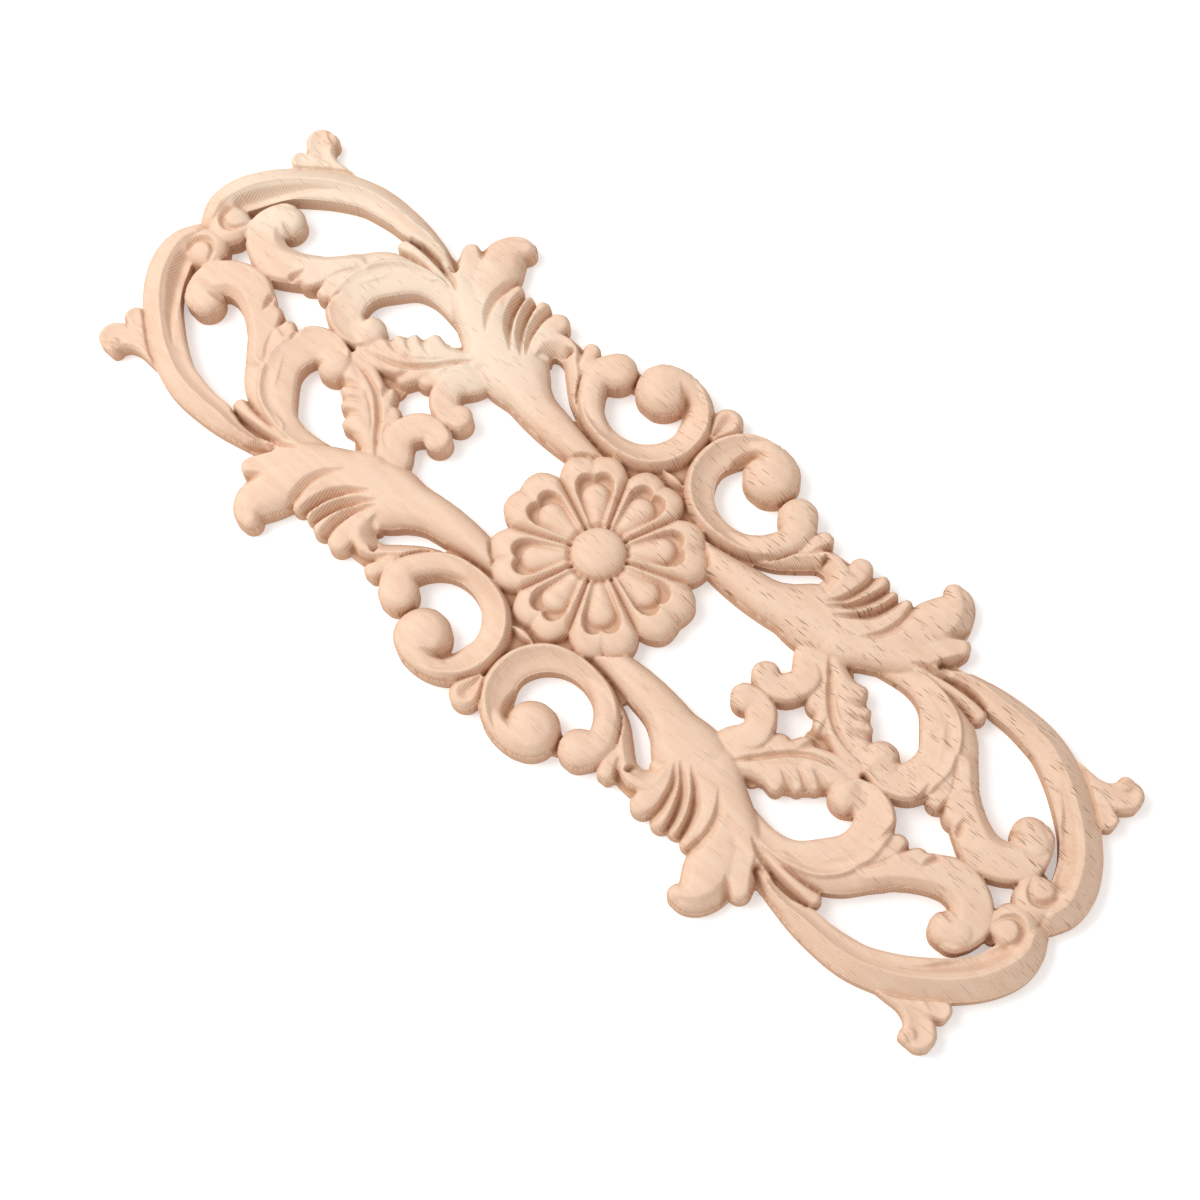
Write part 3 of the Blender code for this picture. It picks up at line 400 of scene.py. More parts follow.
# %% Flutes, notches and veins
def grooves(carving):
    """Flutes, notches and veins cut into the finished forms."""
    for depth, rows in (
            (3.0, [(56.4, 44.2, 1.1), (56.6, 40, 1.4), (56.0, 36, 1.4), (54.6, 32, 1.1),
                   (51.5, 28.4, 0.3)]),
            (3.6, [(61.1, 43.4, 1.2), (60.8, 39.5, 1.5), (59.2, 35, 1.5), (56.5, 31, 1.1),
                   (52.4, 27.2, 0.3)]),
            (3.6, [(64.8, 42.4, 1.2), (64.4, 38.6, 1.5), (63.0, 34.4, 1.5), (60.1, 30.4, 1.1),
                   (55.4, 26.4, 0.3)]),
            (2.0, [(68.6, 42.6, 1.1), (69.4, 38.5, 1.4), (69.2, 34.5, 1.4), (67.6, 30.4, 1.1),
                   (64, 26, 0.3)])):
        carving.cut(rows, depth, -0.5)
    for depth, rows in (
            (3.2, [(84.2, 46.2, 1.8), (81.8, 43.6, 1.3), (79.6, 41.2, 0.4)]),
            (4.2, [(88.4, 39.6, 2.3), (85.6, 36.6, 1.9), (82.0, 33.2, 0.5)]),
            (3.0, [(78.2, 30.0, 0.4), (82, 31.9, 0.9), (87, 33.0, 1.1), (93, 33.5, 1.1),
                   (98.4, 33.4, 0.8)]),
            (1.6, [(89, 29.9, 0.3), (93.5, 29.8, 0.8), (97, 29.2, 0.9), (99.5, 28.6, 0.6)]),
            (2.2, [(42.9, 40.0, 1.2), (41.2, 38.0, 0.8), (40.0, 35.8, 0.3)])):
        carving.cut(rows, depth)
    carving.cut([(61.5, 18, 0.4), (64.6, 14.6, 0.8), (67.4, 11.2, 1.0), (70.2, 8.2, 1.0),
                 (74, 5.2, 0.9), (79, 3.2, 0.7), (85, 2.3, 0.3)], 1.9)
    for depth, rows in (
            (1.8, [(77.2, 15.4, 1.4), (74.8, 13.4, 1.1), (71.6, 12.0, 0.3)]),
            (1.8, [(82.9, 8.8, 1.5), (80.3, 7.5, 1.2), (77.0, 6.6, 0.3)]),
            (1.2, [(79.4, 11.8, 0.8), (77.0, 10.2, 0.8), (74.2, 9.2, 0.3)]),
            (2.0, [(73.4, 0.6, 1.4), (72.4, 3.2, 0.9), (71.6, 5.4, 0.3)]),
            (0.5, [(66.5, 15.0, 0.3), (69.8, 11, 0.5), (73.6, 8.2, 0.5), (77.6, 6.2, 0.3)]),
            (0.7, [(60.6, 14.4, 0.4), (63.2, 13.2, 0.8), (64.6, 11.2, 0.8), (64.8, 8.6, 0.4)])):
        carving.cut(rows, depth)
    carving.cut([(10.0, 41.0, 1.6), (10.4, 44.2, 1.7), (12.2, 47.0, 1.2), (15.6, 48.8, 0.4)], 2.6)
    carving.cut([(102.3, 4.0, 1.2), (101.8, 6.6, 0.9), (101.2, 9.2, 0.3)], 2.6)
    carving.cut([(107.9, 4.4, 1.2), (107.3, 6.6, 0.9), (106.8, 9.2, 0.3)], 3.0)
    carving.cut([(114.2, 4.0, 1.1), (113.6, 5.8, 0.9), (113.0, 8.0, 0.3)], 2.0)
    carving.cut([(106.7, 9.4, 0.3), (105.9, 12.4, 0.6), (104.2, 15.4, 0.8), (102.6, 17.2, 0.8),
                 (101.6, 19.4, 0.3)], 0.8)
    carving.cut([(100.2, 18.6, 0.3), (102.6, 18.2, 0.6), (104.6, 18.6, 0.3)], 0.7)
    carving.hollow([(75, 53.0, 0.8), (79.4, 50.8, 2.0), (81.6, 46.8, 2.2), (80.4, 43.0, 0.8)], 1.0)
    carving.hollow([(87, 26.8, 1.0), (92.5, 25.8, 2.2), (97.0, 22.8, 2.6), (99.4, 19.6, 1.6)], 0.8)
    carving.cut([(134.7, 7.0, 0.5), (135.9, 4.3, 0.8), (138.4, 3.0, 1.1), (141.0, 4.4, 1.2),
                 (141.6, 7.2, 0.9), (140.2, 9.3, 0.4)], 2.2)
    carving.cut([(134.2, 41.0, 0.6), (136.6, 41.3, 0.8), (139.0, 42.4, 0.3)], 1.6)
    carving.cut([(141.8, 33.9, 1.1), (139.4, 34.0, 0.9), (136.6, 34.8, 0.3)], 2.0)
    carving.cut([(122.6, 12.6, 0.8), (125.2, 13.3, 0.8), (127.6, 13.9, 0.3)], 1.8)
    carving.cut([(91.6, 10.2, 1.0), (91.4, 8.6, 0.8), (90.9, 7.2, 0.3)], 1.8)


grooves(carving)
print(len(carving.strokes), "strokes with the grooves")

# %% [markdown]
# ## The flower
#
# The flower follows a rule, so it needs no strokes: eight equal petals are a pattern of the angle,
# and each has a round drooping tip with a notch, a heart-shaped groove round a raised middle and a
# deep gap to its neighbour. A dome covers the point where they meet.

# %% Eight petals and a button
PETALS = 8
FLOWER_RADIUS = 28.4
FLOWER_HEIGHT = 7.5
BUTTON_RADIUS = 7.1
BUTTON_RIM = 6.3
BUTTON_RISE = 3.1
COLLAR_DEPTH = 1.6
COLLAR_WIDTH = 1.6
PETAL_SHOULDER = 4.6
PETAL_SHORTENING = 1.9
TIP_HEIGHT = 4.2
TIP_ROUNDING = 7.0
TIP_NOTCH = 0.8
NOTCH_WIDTH = 0.9
NOTCH_SWING = 0.35
NOTCH_START = 2
SHOULDER_START = 0.42
GAP_FLOOR = 3.9
GAP_NEAR = 1.1
GAP_FAR = 3.4
HEART_START = 7.0
HEART_END = 19.6
HEART_NARROW = 1.6
HEART_WIDE = 4.7
HEART_TAPER = 10.0
HEART_LOBE = 2.1
HEART_DEPTH = 3.0
HEART_SHALLOW = 1.0
HEART_WALL = (-0.3, 0.5)
LOBE_SPREAD = 0.2
EGG_PLACE = 16.0
EGG_RADIUS = 3.7
EGG_FOOT = 4.9
EGG_RISE = 2.3
EGG_NARROW = 0.5


def rounded(value):
    """0 at 0 and 1 from 1 on, along a quarter circle."""
    return np.sqrt(1 - (1 - np.clip(value, 0, 1)) ** 2)


def flower(x, y):
    """Height of the flower, and how far each point lies inside its edge."""
    radius = np.hypot(x, y)
    angle = np.arctan2(y, x)
    sector = math.pi / PETALS
    turn = (angle + sector) % (2 * sector) - sector
    swing = np.abs(turn) / sector
    edge = FLOWER_RADIUS - TIP_NOTCH * (1 - fade(swing, 0, NOTCH_SWING)) ** 1.5
    shoulder = PETAL_SHOULDER * fade(swing, SHOULDER_START, 1) ** 2
    edge = edge - shoulder - PETAL_SHORTENING * np.sin(angle) ** 4
    inside = edge - radius

    height = TIP_HEIGHT + (FLOWER_HEIGHT - TIP_HEIGHT) * rounded(inside / TIP_ROUNDING)
    gap = radius * np.sin(sector - np.abs(turn))
    gap_width = GAP_NEAR + (GAP_FAR - GAP_NEAR) * fade(radius, BUTTON_RADIUS, FLOWER_RADIUS)
    height = np.minimum(height, GAP_FLOOR + (FLOWER_HEIGHT - GAP_FLOOR) * rounded(gap / gap_width))

    out = radius * np.cos(turn)
    side = np.abs(radius * np.sin(turn))
    half = HEART_NARROW + (HEART_WIDE - HEART_NARROW) * fade(out, HEART_START, HEART_START + HEART_TAPER)
    lobe = (side - HEART_LOBE) / (HEART_LOBE + LOBE_SPREAD)
    end = HEART_END + HEART_LOBE * np.sqrt(np.clip(1 - lobe ** 2, 0, 1))
    heart = fade(np.minimum(half - side, end - out), *HEART_WALL)
    deepening = fade(out, HEART_START, HEART_END)
    height = height - (HEART_SHALLOW + (HEART_DEPTH - HEART_SHALLOW) * deepening) * heart
    egg = EGG_RADIUS * (EGG_NARROW + (1 - EGG_NARROW) * fade(out, BUTTON_RADIUS, EGG_PLACE)) - side
    egg = np.where(out > EGG_PLACE, EGG_RADIUS - np.hypot(out - EGG_PLACE, side), egg)
    height = np.maximum(height, np.where(egg > 0, EGG_FOOT + EGG_RISE * rounded(egg / EGG_RADIUS), 0))
    outer = fade(out, HEART_END + NOTCH_START, FLOWER_RADIUS)
    height = height - TIP_NOTCH * (1 - fade(side, 0, NOTCH_WIDTH)) * outer
    height = height - COLLAR_DEPTH * (1 - fade(radius, BUTTON_RADIUS, BUTTON_RADIUS + COLLAR_WIDTH))

    button = BUTTON_RIM + BUTTON_RISE * np.sqrt(np.clip(1 - (radius / BUTTON_RADIUS) ** 2, 0, 1))
    return np.where(radius < BUTTON_RADIUS, button, height), inside


print("the button is", round(float(flower(np.zeros(1), np.zeros(1))[0][0]), 1), "mm high")

# %% The whole relief
MM = 0.001
LENGTH = 298.6
WIDTH = 109.0
GRID_STEP = 0.4
OUTLINE_STEP = 0.45
LEAST_GAP = 0.15
OVERLAP = 2.0
DEEPEST = 2.2
BLANK_HEIGHT = 20.0
SAME_PLACE = 0.000001
SMALLEST_EDGE = 0.00003
CURVE_WELD = 0.00002
SHARP_EDGE_DEG = 45
FINER = 2
SPILL_STEPS = 6
CUT_BLEND = 0.8
HOLLOW_BLEND = 1.5


def relief(carving, x, y):
    """Height over the back at each point, and how far the point lies inside the outline."""
    x, y = np.abs(x), np.abs(y)
    height = np.zeros(x.shape)
    inside = np.full(x.shape, -LENGTH)
    for rows, shape, way in carving.strokes:
        clear, across, fullness, lift = follow(rows, x, y)
        covered = clear > 0
        if way == "cut":
            depth, lean = shape
            climb = np.where(across > lean, (1 - across) / (1 - lean), (1 + across) / (1 + lean))
            groove = depth * fullness * np.clip(climb, 0, 1) ** CUT_BLEND
            height = np.where(covered, height - groove, height)
        elif way == "hollow":
            scoop = shape * fullness * (1 - across ** 2) ** HOLLOW_BLEND
            height = np.where(covered, height - scoop, height)
        else:
            section = section_height(shape, across) + lift
            if way == "grow":
                section = np.maximum(section, height)
            height = np.where(covered, section, height)
            inside = np.maximum(inside, clear)
    petals, clear = flower(x, y)
    height = np.where(clear > 0, petals, height)
    return np.maximum(height, DEEPEST), np.maximum(inside, clear)


def spread(start, end, step):
    return np.linspace(start, end, int(round((end - start) / step)) + 1)


def shifted(values, down, over):
    """The grid moved by whole steps, with its border repeated."""
    padded = np.pad(values, 1, mode="edge")
    rows, columns = values.shape
    return padded[1 + down:1 + down + rows, 1 + over:1 + over + columns]


def spread_out(height, known):
    """Carry the heights of the carved wood a few steps past its edge, so that the edge stays crisp."""
    around = [(down, over) for down in (-1, 0, 1) for over in (-1, 0, 1)]
    for _ in range(SPILL_STEPS):
        weight = sum(shifted(known.astype(float), *way) for way in around)
        total = sum(shifted(np.where(known, height, 0), *way) for way in around)
        fresh = ~known & (weight > 0)
        height = np.where(fresh, total / np.maximum(weight, 1), height)
        known = known | fresh
    return height


def softened(height):
    """One pass of light sanding over the grid."""
    for down, over in ((0, 1), (1, 0)):
        height = (shifted(height, -down, -over) + 2 * height + shifted(height, down, over)) / 4
    return height


def quarter_field(carving, start, step):
    """Grid lines over a quarter from start, with the height and the clearance at each crossing."""
    xs = spread(start, LENGTH / 2 + OVERLAP, step)
    ys = spread(start, WIDTH / 2 + OVERLAP, step)
    fine_x, fine_y = (np.linspace(line[0], line[-1], FINER * (len(line) - 1) + 1) for line in (xs, ys))
    height, inside = relief(carving, *np.meshgrid(fine_x, fine_y))
    height = softened(softened(spread_out(height, inside > 0)))
    return xs, ys, height[::FINER, ::FINER], inside[::FINER, ::FINER]


print("a quarter is a grid of", len(spread(0, LENGTH / 2 + OVERLAP, GRID_STEP)), "by",
      len(spread(0, WIDTH / 2 + OVERLAP, GRID_STEP)), "heights")

# %% [markdown]
# ## Sawing the outline
#
# The edge of all strokes together is the line that the saw follows, outside and round each piercing.
# It is found on the grid, as a contour on a map, drawn as a flat curve and given thickness. Taking the
# part that the carved block and this blank share gives clean upright walls under a carved top.

# %% The saw line
def spaced_out(loop):
    """The loop without points that crowd the one before them."""
    kept = []
    for point in loop:
        if not kept or math.dist(point, kept[-1]) > LEAST_GAP:
            kept.append(point)
    while math.dist(kept[0], kept[-1]) <= LEAST_GAP:
        kept.pop()
    return kept


def contour_loops(field, xs, ys):
    """Closed loops of points where the field changes sign, one list of (x, y) for each loop."""
    positive = field > 0
    points = {}
    links = {}

    def crossing(row, column, other_row, other_column):
        key = (row, column, other_row, other_column)
        if key not in points:
            here, there = field[row, column], field[other_row, other_column]
            share = here / (here - there)
            points[key] = (xs[column] + share * (xs[other_column] - xs[column]),
                           ys[row] + share * (ys[other_row] - ys[row]))
        return key

    mixed = positive[:-1, :-1].astype(int) + positive[1:, :-1] + positive[:-1, 1:] + positive[1:, 1:]
    for row, column in zip(*np.nonzero((mixed > 0) & (mixed < 4))):
        corners = ((row, column), (row, column + 1), (row + 1, column + 1), (row + 1, column))
        edges = []
        for start, end in zip(corners, corners[1:] + corners[:1]):
            if positive[start] != positive[end]:
                edges.append(crossing(*min(start, end), *max(start, end)))
        middle = field[row:row + 2, column:column + 2].mean() > 0
        if len(edges) == 4 and positive[row, column] == middle:
            edges = edges[1:] + edges[:1]
        for one, two in zip(edges[::2], edges[1::2]):
            links.setdefault(one, []).append(two)
            links.setdefault(two, []).append(one)

    loops = []
    while links:
        start, ways = next(iter(links.items()))
        loop, here, came = [start], ways[0], start
        while here != start:
            loop.append(here)
            one, two = links[here]
            here, came = (two if one == came else one), here
        for key in loop:
            del links[key]
        loops.append(spaced_out([points[key] for key in loop]))
    return loops


ruler = np.arange(-3.0, 4.0)
disc = 2.2 - np.hypot(*np.meshgrid(ruler, ruler))
print("a test disc has", len(contour_loops(disc, ruler, ruler)), "saw line")

# %% The sawn blank
def sawn_blank(carving, collection):
    """The outline with its piercings, past both middle lines, as a slab taller than the carving."""
    xs, ys, _, inside = quarter_field(carving, -OVERLAP, OUTLINE_STEP)
    inside[0] = inside[-1] = -OUTLINE_STEP
    inside[:, 0] = inside[:, -1] = -OUTLINE_STEP
    curve = bpy.data.curves.new("blank_outline", "CURVE")
    curve.dimensions = "2D"
    curve.fill_mode = "BOTH"
    curve.extrude = BLANK_HEIGHT / 2 * MM
    for loop in contour_loops(inside, xs, ys):
        spline = curve.splines.new("POLY")
        spline.points.add(len(loop) - 1)
        for point, (x, y) in zip(spline.points, loop):
            point.co = (x * MM, y * MM, 0, 1)
        spline.use_cyclic_u = True
    outline = bpy.data.objects.new("blank_outline", curve)
    bpy.context.scene.collection.objects.link(outline)
    bpy.context.view_layer.update()
    mesh = bpy.data.meshes.new_from_object(outline.evaluated_get(bpy.context.evaluated_depsgraph_get()))
    form = bmesh.new()
    form.from_mesh(mesh)
    bmesh.ops.remove_doubles(form, verts=form.verts, dist=CURVE_WELD)
    bmesh.ops.recalc_face_normals(form, faces=form.faces)
    form.to_mesh(mesh)
    form.free()
    blank = bpy.data.objects.new("sawn_blank", mesh)
    blank.matrix_world = outline.matrix_world.copy()
    bpy.data.objects.remove(outline)
    blank.hide_render = True
    blank.display_type = "WIRE"
    collection.objects.link(blank)
    return blank


workbench = bpy.data.collections.new("workbench")
bpy.context.scene.collection.children.link(workbench)
blank = sawn_blank(carving, workbench)
print("the blank has", len(blank.data.vertices), "points")

# %% [markdown]
# ## The carved block
#
# The block's top is a grid that is lifted to the relief. Its sides on the two middle lines are taken
# off again after sawing, so that the four quarters join without a wall between them.

# %% A quarter of the block
def carved_block(carving, material):
    """A quarter block whose top is the relief and whose underside is the flat back."""
    xs, ys, height, _ = quarter_field(carving, 0, GRID_STEP)
    form = bmesh.new()
    bmesh.ops.create_grid(form, x_segments=len(xs) - 1, y_segments=len(ys) - 1, size=1)
    form.verts.ensure_lookup_table()
    half_x = (len(xs) - 1) / 2
    half_y = (len(ys) - 1) / 2
    for vert in form.verts:
        column = round((vert.co.x + 1) * half_x)
        row = round((vert.co.y + 1) * half_y)
        vert.co = (xs[column] * MM, ys[row] * MM, height[row, column] * MM)
    rim = [edge for edge in form.edges if edge.is_boundary]
    walls = bmesh.ops.extrude_edge_only(form, edges=rim)["geom"]
    foot = [item for item in walls if isinstance(item, bmesh.types.BMVert)]
    for vert in foot:
        vert.co.z = 0
    foot_edges = [item for item in walls if isinstance(item, bmesh.types.BMEdge) and item.is_boundary]
    bmesh.ops.contextual_create(form, geom=foot_edges)
    bmesh.ops.recalc_face_normals(form, faces=form.faces)
    mesh = bpy.data.meshes.new(NAME)
    form.to_mesh(mesh)
    form.free()
    mesh.materials.append(material)
    return bpy.data.objects.new(NAME, mesh)


quarter = carved_block(carving, bpy.data.materials.new("plain"))
workbench.objects.link(quarter)
print("the block has", len(quarter.data.polygons), "faces")

# %% Saw it out
def saw_out(piece, blank):
    """Cut the block to the blank's outline and open it along both middle lines."""
    cut = piece.modifiers.new("sawn outline", "BOOLEAN")
    cut.operation = "INTERSECT"
    cut.object = blank
    bpy.context.view_layer.update()
    mesh = bpy.data.meshes.new_from_object(piece.evaluated_get(bpy.context.evaluated_depsgraph_get()))
    piece.modifiers.remove(cut)
    form = bmesh.new()
    form.from_mesh(mesh)
    joints = [face for face in form.faces
              if any(all(abs(vert.co[axis]) < SAME_PLACE for vert in face.verts) for axis in (0, 1))]
    bmesh.ops.delete(form, geom=joints, context="FACES")
    inner = [vert for vert in form.verts if min(abs(vert.co.x), abs(vert.co.y)) > SMALLEST_EDGE]
    bmesh.ops.remove_doubles(form, verts=inner, dist=SMALLEST_EDGE)
    bmesh.ops.triangulate(form, faces=form.faces)
    form.to_mesh(mesh)
    form.free()
    mesh.shade_smooth()
    mesh.set_sharp_from_angle(angle=math.radians(SHARP_EDGE_DEG))
    piece.data = mesh


def count_triangles(piece):
    bpy.context.view_layer.update()
    mesh = piece.evaluated_get(bpy.context.evaluated_depsgraph_get()).data
    return sum(len(polygon.vertices) - 2 for polygon in mesh.polygons)


saw_out(quarter, blank)
bpy.data.objects.remove(blank)
print("a quarter has", count_triangles(quarter), "triangles")

# %% [markdown]
# ## Four quarters
#
# The ornament repeats itself on both sides of both middle lines, and repeats are work for Geometry
# Nodes: the tree below mirrors the quarter over one line and then over the other, turns the mirrored
# faces outwards and welds the seams. Hand finishing is never quite even, so the last step lifts and
# sinks the carved surface by up to about a tenth of a millimetre in soft patches, with a fixed seed.

# %% A tree that mirrors, welds and wears
SEAM = 0.000002
UNEVENNESS = 0.00022
PATCH_SIZE = 0.009
SEED = 4.0
UNCARVED = 0.001


def tree_input(tree, name, kind, value=None):
    socket = tree.interface.new_socket(name=name, in_out="INPUT", socket_type=kind)
    if value is not None:
        socket.default_value = value
    return socket


def new_node(tree, kind, settings=None, inputs=None):
    node = tree.nodes.new(kind)
    for name, value in (settings or {}).items():
        setattr(node, name, value)
    for name, value in (inputs or {}).items():
        if isinstance(value, bpy.types.NodeSocket):
            tree.links.new(value, node.inputs[name])
        else:
            node.inputs[name].default_value = value
    return node


def mirrored(tree, geometry, scale, seam):
    """The geometry and its mirror image, welded where they meet."""
    image = new_node(tree, "GeometryNodeTransform", inputs={"Geometry": geometry, "Scale": scale})
    outward = new_node(tree, "GeometryNodeFlipFaces", inputs={"Mesh": image.outputs["Geometry"]})
    both = new_node(tree, "GeometryNodeJoinGeometry")
    tree.links.new(geometry, both.inputs["Geometry"])
    tree.links.new(outward.outputs["Mesh"], both.inputs["Geometry"])
    welded = new_node(tree, "GeometryNodeMergeByDistance",
                      inputs={"Geometry": both.outputs["Geometry"], "Distance": seam})
    return welded.outputs["Geometry"]


def four_quarters():
    tree = bpy.data.node_groups.new("four_quarters", "GeometryNodeTree")
    tree_input(tree, "Quarter", "NodeSocketGeometry")
    sizes = {"Seam": SEAM, "Unevenness": UNEVENNESS, "Patch size": PATCH_SIZE, "Seed": SEED,
             "Uncarved": UNCARVED}
    for name, value in sizes.items():
        tree_input(tree, name, "NodeSocketFloat", value)
    tree_input(tree, "Wood", "NodeSocketMaterial")
    tree.interface.new_socket(name="Applique", in_out="OUTPUT", socket_type="NodeSocketGeometry")
    given = tree.nodes.new("NodeGroupInput").outputs

    right_half = mirrored(tree, given["Quarter"], (1, -1, 1), given["Seam"])
    whole = mirrored(tree, right_half, (-1, 1, 1), given["Seam"])

    place = new_node(tree, "GeometryNodeInputPosition").outputs["Position"]
    patches = new_node(tree, "ShaderNodeMath", {"operation": "DIVIDE"}, {0: 1.0, 1: given["Patch size"]})
    noise = new_node(tree, "ShaderNodeTexNoise", {"noise_dimensions": "4D"},
                     {"Vector": place, "W": given["Seed"], "Scale": patches.outputs[0], "Detail": 1.0})
    centred = new_node(tree, "ShaderNodeMath", {"operation": "SUBTRACT"}, {0: noise.outputs[0], 1: 0.5})
    lift = new_node(tree, "ShaderNodeMath", {"operation": "MULTIPLY"},
                    {0: centred.outputs[0], 1: given["Unevenness"]})
    upward = new_node(tree, "ShaderNodeCombineXYZ", inputs={"Z": lift.outputs[0]})
    height = new_node(tree, "ShaderNodeSeparateXYZ", inputs={"Vector": place})
    carved = new_node(tree, "FunctionNodeCompare", {"data_type": "FLOAT", "operation": "GREATER_THAN"},
                      {0: height.outputs["Z"], 1: given["Uncarved"]})
    worn = new_node(tree, "GeometryNodeSetPosition",
                    inputs={"Geometry": whole, "Selection": carved.outputs[0],
                            "Offset": upward.outputs[0]})
    real = new_node(tree, "GeometryNodeRealizeInstances", inputs={"Geometry": worn.outputs[0]})
    dressed = new_node(tree, "GeometryNodeSetMaterial",
                       inputs={"Geometry": real.outputs[0], "Material": given["Wood"]})
    result = tree.nodes.new("NodeGroupOutput")
    tree.links.new(dressed.outputs[0], result.inputs[0])
    return tree


tree = four_quarters()
print("tree with", len(tree.nodes), "nodes")

# %% [markdown]
# ## Pale wood
#
# The bare wood is matte and pinkish tan, and one band along the grain is creamier than the rest. Its
# pores run with the grain and show as short dark dashes, most of them towards one corner. They are long
# thin cells in the plane of the board, which suits the carved front and is only rough on the walls. The
# hollows, the walls and most of all the foot of the walls are given painted shade, a browner tone. Fine
# parallel ridges, as a cutter leaves them, show on the slopes, with painted shade in their valleys.
# Lengths here are metres, and only the depth of a hollow is millimetres.

# %% Shader sums as Python sums
class Shade:
    """A shader socket that adds a Math node for each sum it takes part in."""

    def __init__(self, tree, socket=None):
        self.tree = tree
        self.socket = socket

    def node(self, kind, settings=None, inputs=None, output=0):
        made = self.tree.nodes.new(kind)
        for name, value in (settings or {}).items():
            setattr(made, name, value)
        for name, value in (inputs or {}).items():
            if isinstance(value, Shade):
                self.tree.links.new(value.socket, made.inputs[name])
            else:
                made.inputs[name].default_value = value
        return Shade(self.tree, made.outputs[output])

    def sum(self, operation, first, second=0.0, third=0.0):
        return self.node("ShaderNodeMath", {"operation": operation}, {0: first, 1: second, 2: third})

    def __add__(self, other):
        return self.sum("ADD", self, other)

    __radd__ = __add__

    def __sub__(self, other):
        return self.sum("SUBTRACT", self, other)

    def __rsub__(self, other):
        return self.sum("SUBTRACT", other, self)

    def __mul__(self, other):
        return self.sum("MULTIPLY", self, other)

    __rmul__ = __mul__

    def fade(self, start, end):
        """0 where this is start, 1 where it is end."""
        return self.node("ShaderNodeMapRange", {"interpolation_type": "SMOOTHSTEP"},
                         {"Value": self, "From Min": start, "From Max": end})

    def stretched(self, x, y, z):
        """This place counted in steps of x, y and z metres."""
        steps = (1 / x, 1 / y, 1 / z)
        return self.node("ShaderNodeVectorMath", {"operation": "MULTIPLY"}, {0: self, 1: steps})

    def part(self, axis):
        """The X, Y or Z of a place or a direction."""
        return self.node("ShaderNodeSeparateXYZ", inputs={0: self}, output=axis)

    def noise(self, size, detail=2.0):
        """Soft noise at this place, with patches of the given size."""
        return self.node("ShaderNodeTexNoise",
                         inputs={"Vector": self.stretched(*size), "Scale": 1.0, "Detail": detail})

    def cells(self, size):
        """Distance from the middle of the nearest cell in the plane of the board, in cell sizes."""
        return self.node("ShaderNodeTexVoronoi", {"voronoi_dimensions": "2D"},
                         {"Vector": self.stretched(*size), "Scale": 1.0})

    def mix(self, first, second):
        """The first colour where this is 0, the second where it is 1."""
        return self.node("ShaderNodeMix", {"data_type": "RGBA"}, {0: self, 6: first, 7: second}, 2)


print("a shade can", *[name for name in vars(Shade) if not name.startswith("_")])

# %% Bands, fibres and fuzz
TAN = (0.825, 0.602, 0.450, 1)
ROSE_TAN = (0.795, 0.542, 0.396, 1)
CREAM = (0.850, 0.695, 0.545, 1)
FUZZ_BROWN = (0.560, 0.340, 0.220, 1)
BAND_SIZE = (0.018, 0.002, 0.0024)
BAND_FADE = (0.3, 0.7)
BAND_DETAIL = 3.0
WANDER = 0.024
WANDER_SIZE = (0.024, 0.008, 0.008)
CREAM_NEAR_EDGE = (0.004, 0.014)
CREAM_FAR_EDGE = (0.034, 0.042)
CREAM_END = (-0.060, -0.030)
CREAM_SHARE = 0.85
FIBRE_SIZE = (0.0012, 0.00012, 0.00012)
FIBRE_FADE = (0.35, 0.8)
FIBRE_SHARE = 0.16
FUZZ_SIZE = (0.0009, 0.0005, 0.0005)
FUZZ_FADE = (0.5, 0.8)
FUZZ_SHARE = 0.16


def wood_tones(place, fibres, fuzz):
    """Bands of two tans, with the creamier band over them and fibres and fuzz over that."""
    tone = place.noise(BAND_SIZE, BAND_DETAIL).fade(*BAND_FADE).mix(TAN, ROSE_TAN)
    across = place.part("Y") + (place.noise(WANDER_SIZE, BAND_DETAIL) - 0.5) * WANDER
    cream = across.fade(*CREAM_NEAR_EDGE) * (1 - across.fade(*CREAM_FAR_EDGE))
    cream = cream * (1 - place.part("X").fade(*CREAM_END))
    tone = (cream * CREAM_SHARE).mix(tone, CREAM)
    tone = (fibres.fade(*FIBRE_FADE) * FIBRE_SHARE).mix(tone, ROSE_TAN)
    return (fuzz.fade(*FUZZ_FADE) * FUZZ_SHARE).mix(tone, FUZZ_BROWN)


print("bands about", *[round(side / MM, 1) for side in BAND_SIZE[:2]], "mm long and wide")

# %% Painted shade in hollows and on walls
# The brown below is painted shade, mixed into the hollows, the walls and the foot of the walls.
SHADE_BROWN = (0.480, 0.250, 0.130, 1)
HOLLOW_MM = (0.2, 2.0)
HOLLOW_SHADE_SHARE = 0.75
WALL_FADE = (0.1, 0.8)
WALL_SHADE_SHARE = 0.28
FOOT_FADE = (0.001, 0.006)
FOOT_SHADE_SHARE = 0.42


def with_painted_shade(tone, place, upward):
    """The tone with painted shade: browner in the hollows and on the walls, and most of all at the foot
    of a wall.
    """
    hollow = place.node("ShaderNodeAttribute", {"attribute_name": "hollow"}, output="Fac")
    foot = 1 - place.part("Z").fade(*FOOT_FADE)
    wall = (1 - upward.fade(*WALL_FADE)) * (WALL_SHADE_SHARE + FOOT_SHADE_SHARE * foot)
    # painted shade: hollows browner by their depth, walls browner, most of all near their foot
    tone = (hollow.fade(*HOLLOW_MM) * HOLLOW_SHADE_SHARE).mix(tone, SHADE_BROWN)
    return wall.mix(tone, SHADE_BROWN)


print("hollows are brownest", HOLLOW_MM[1], "mm under their surroundings")

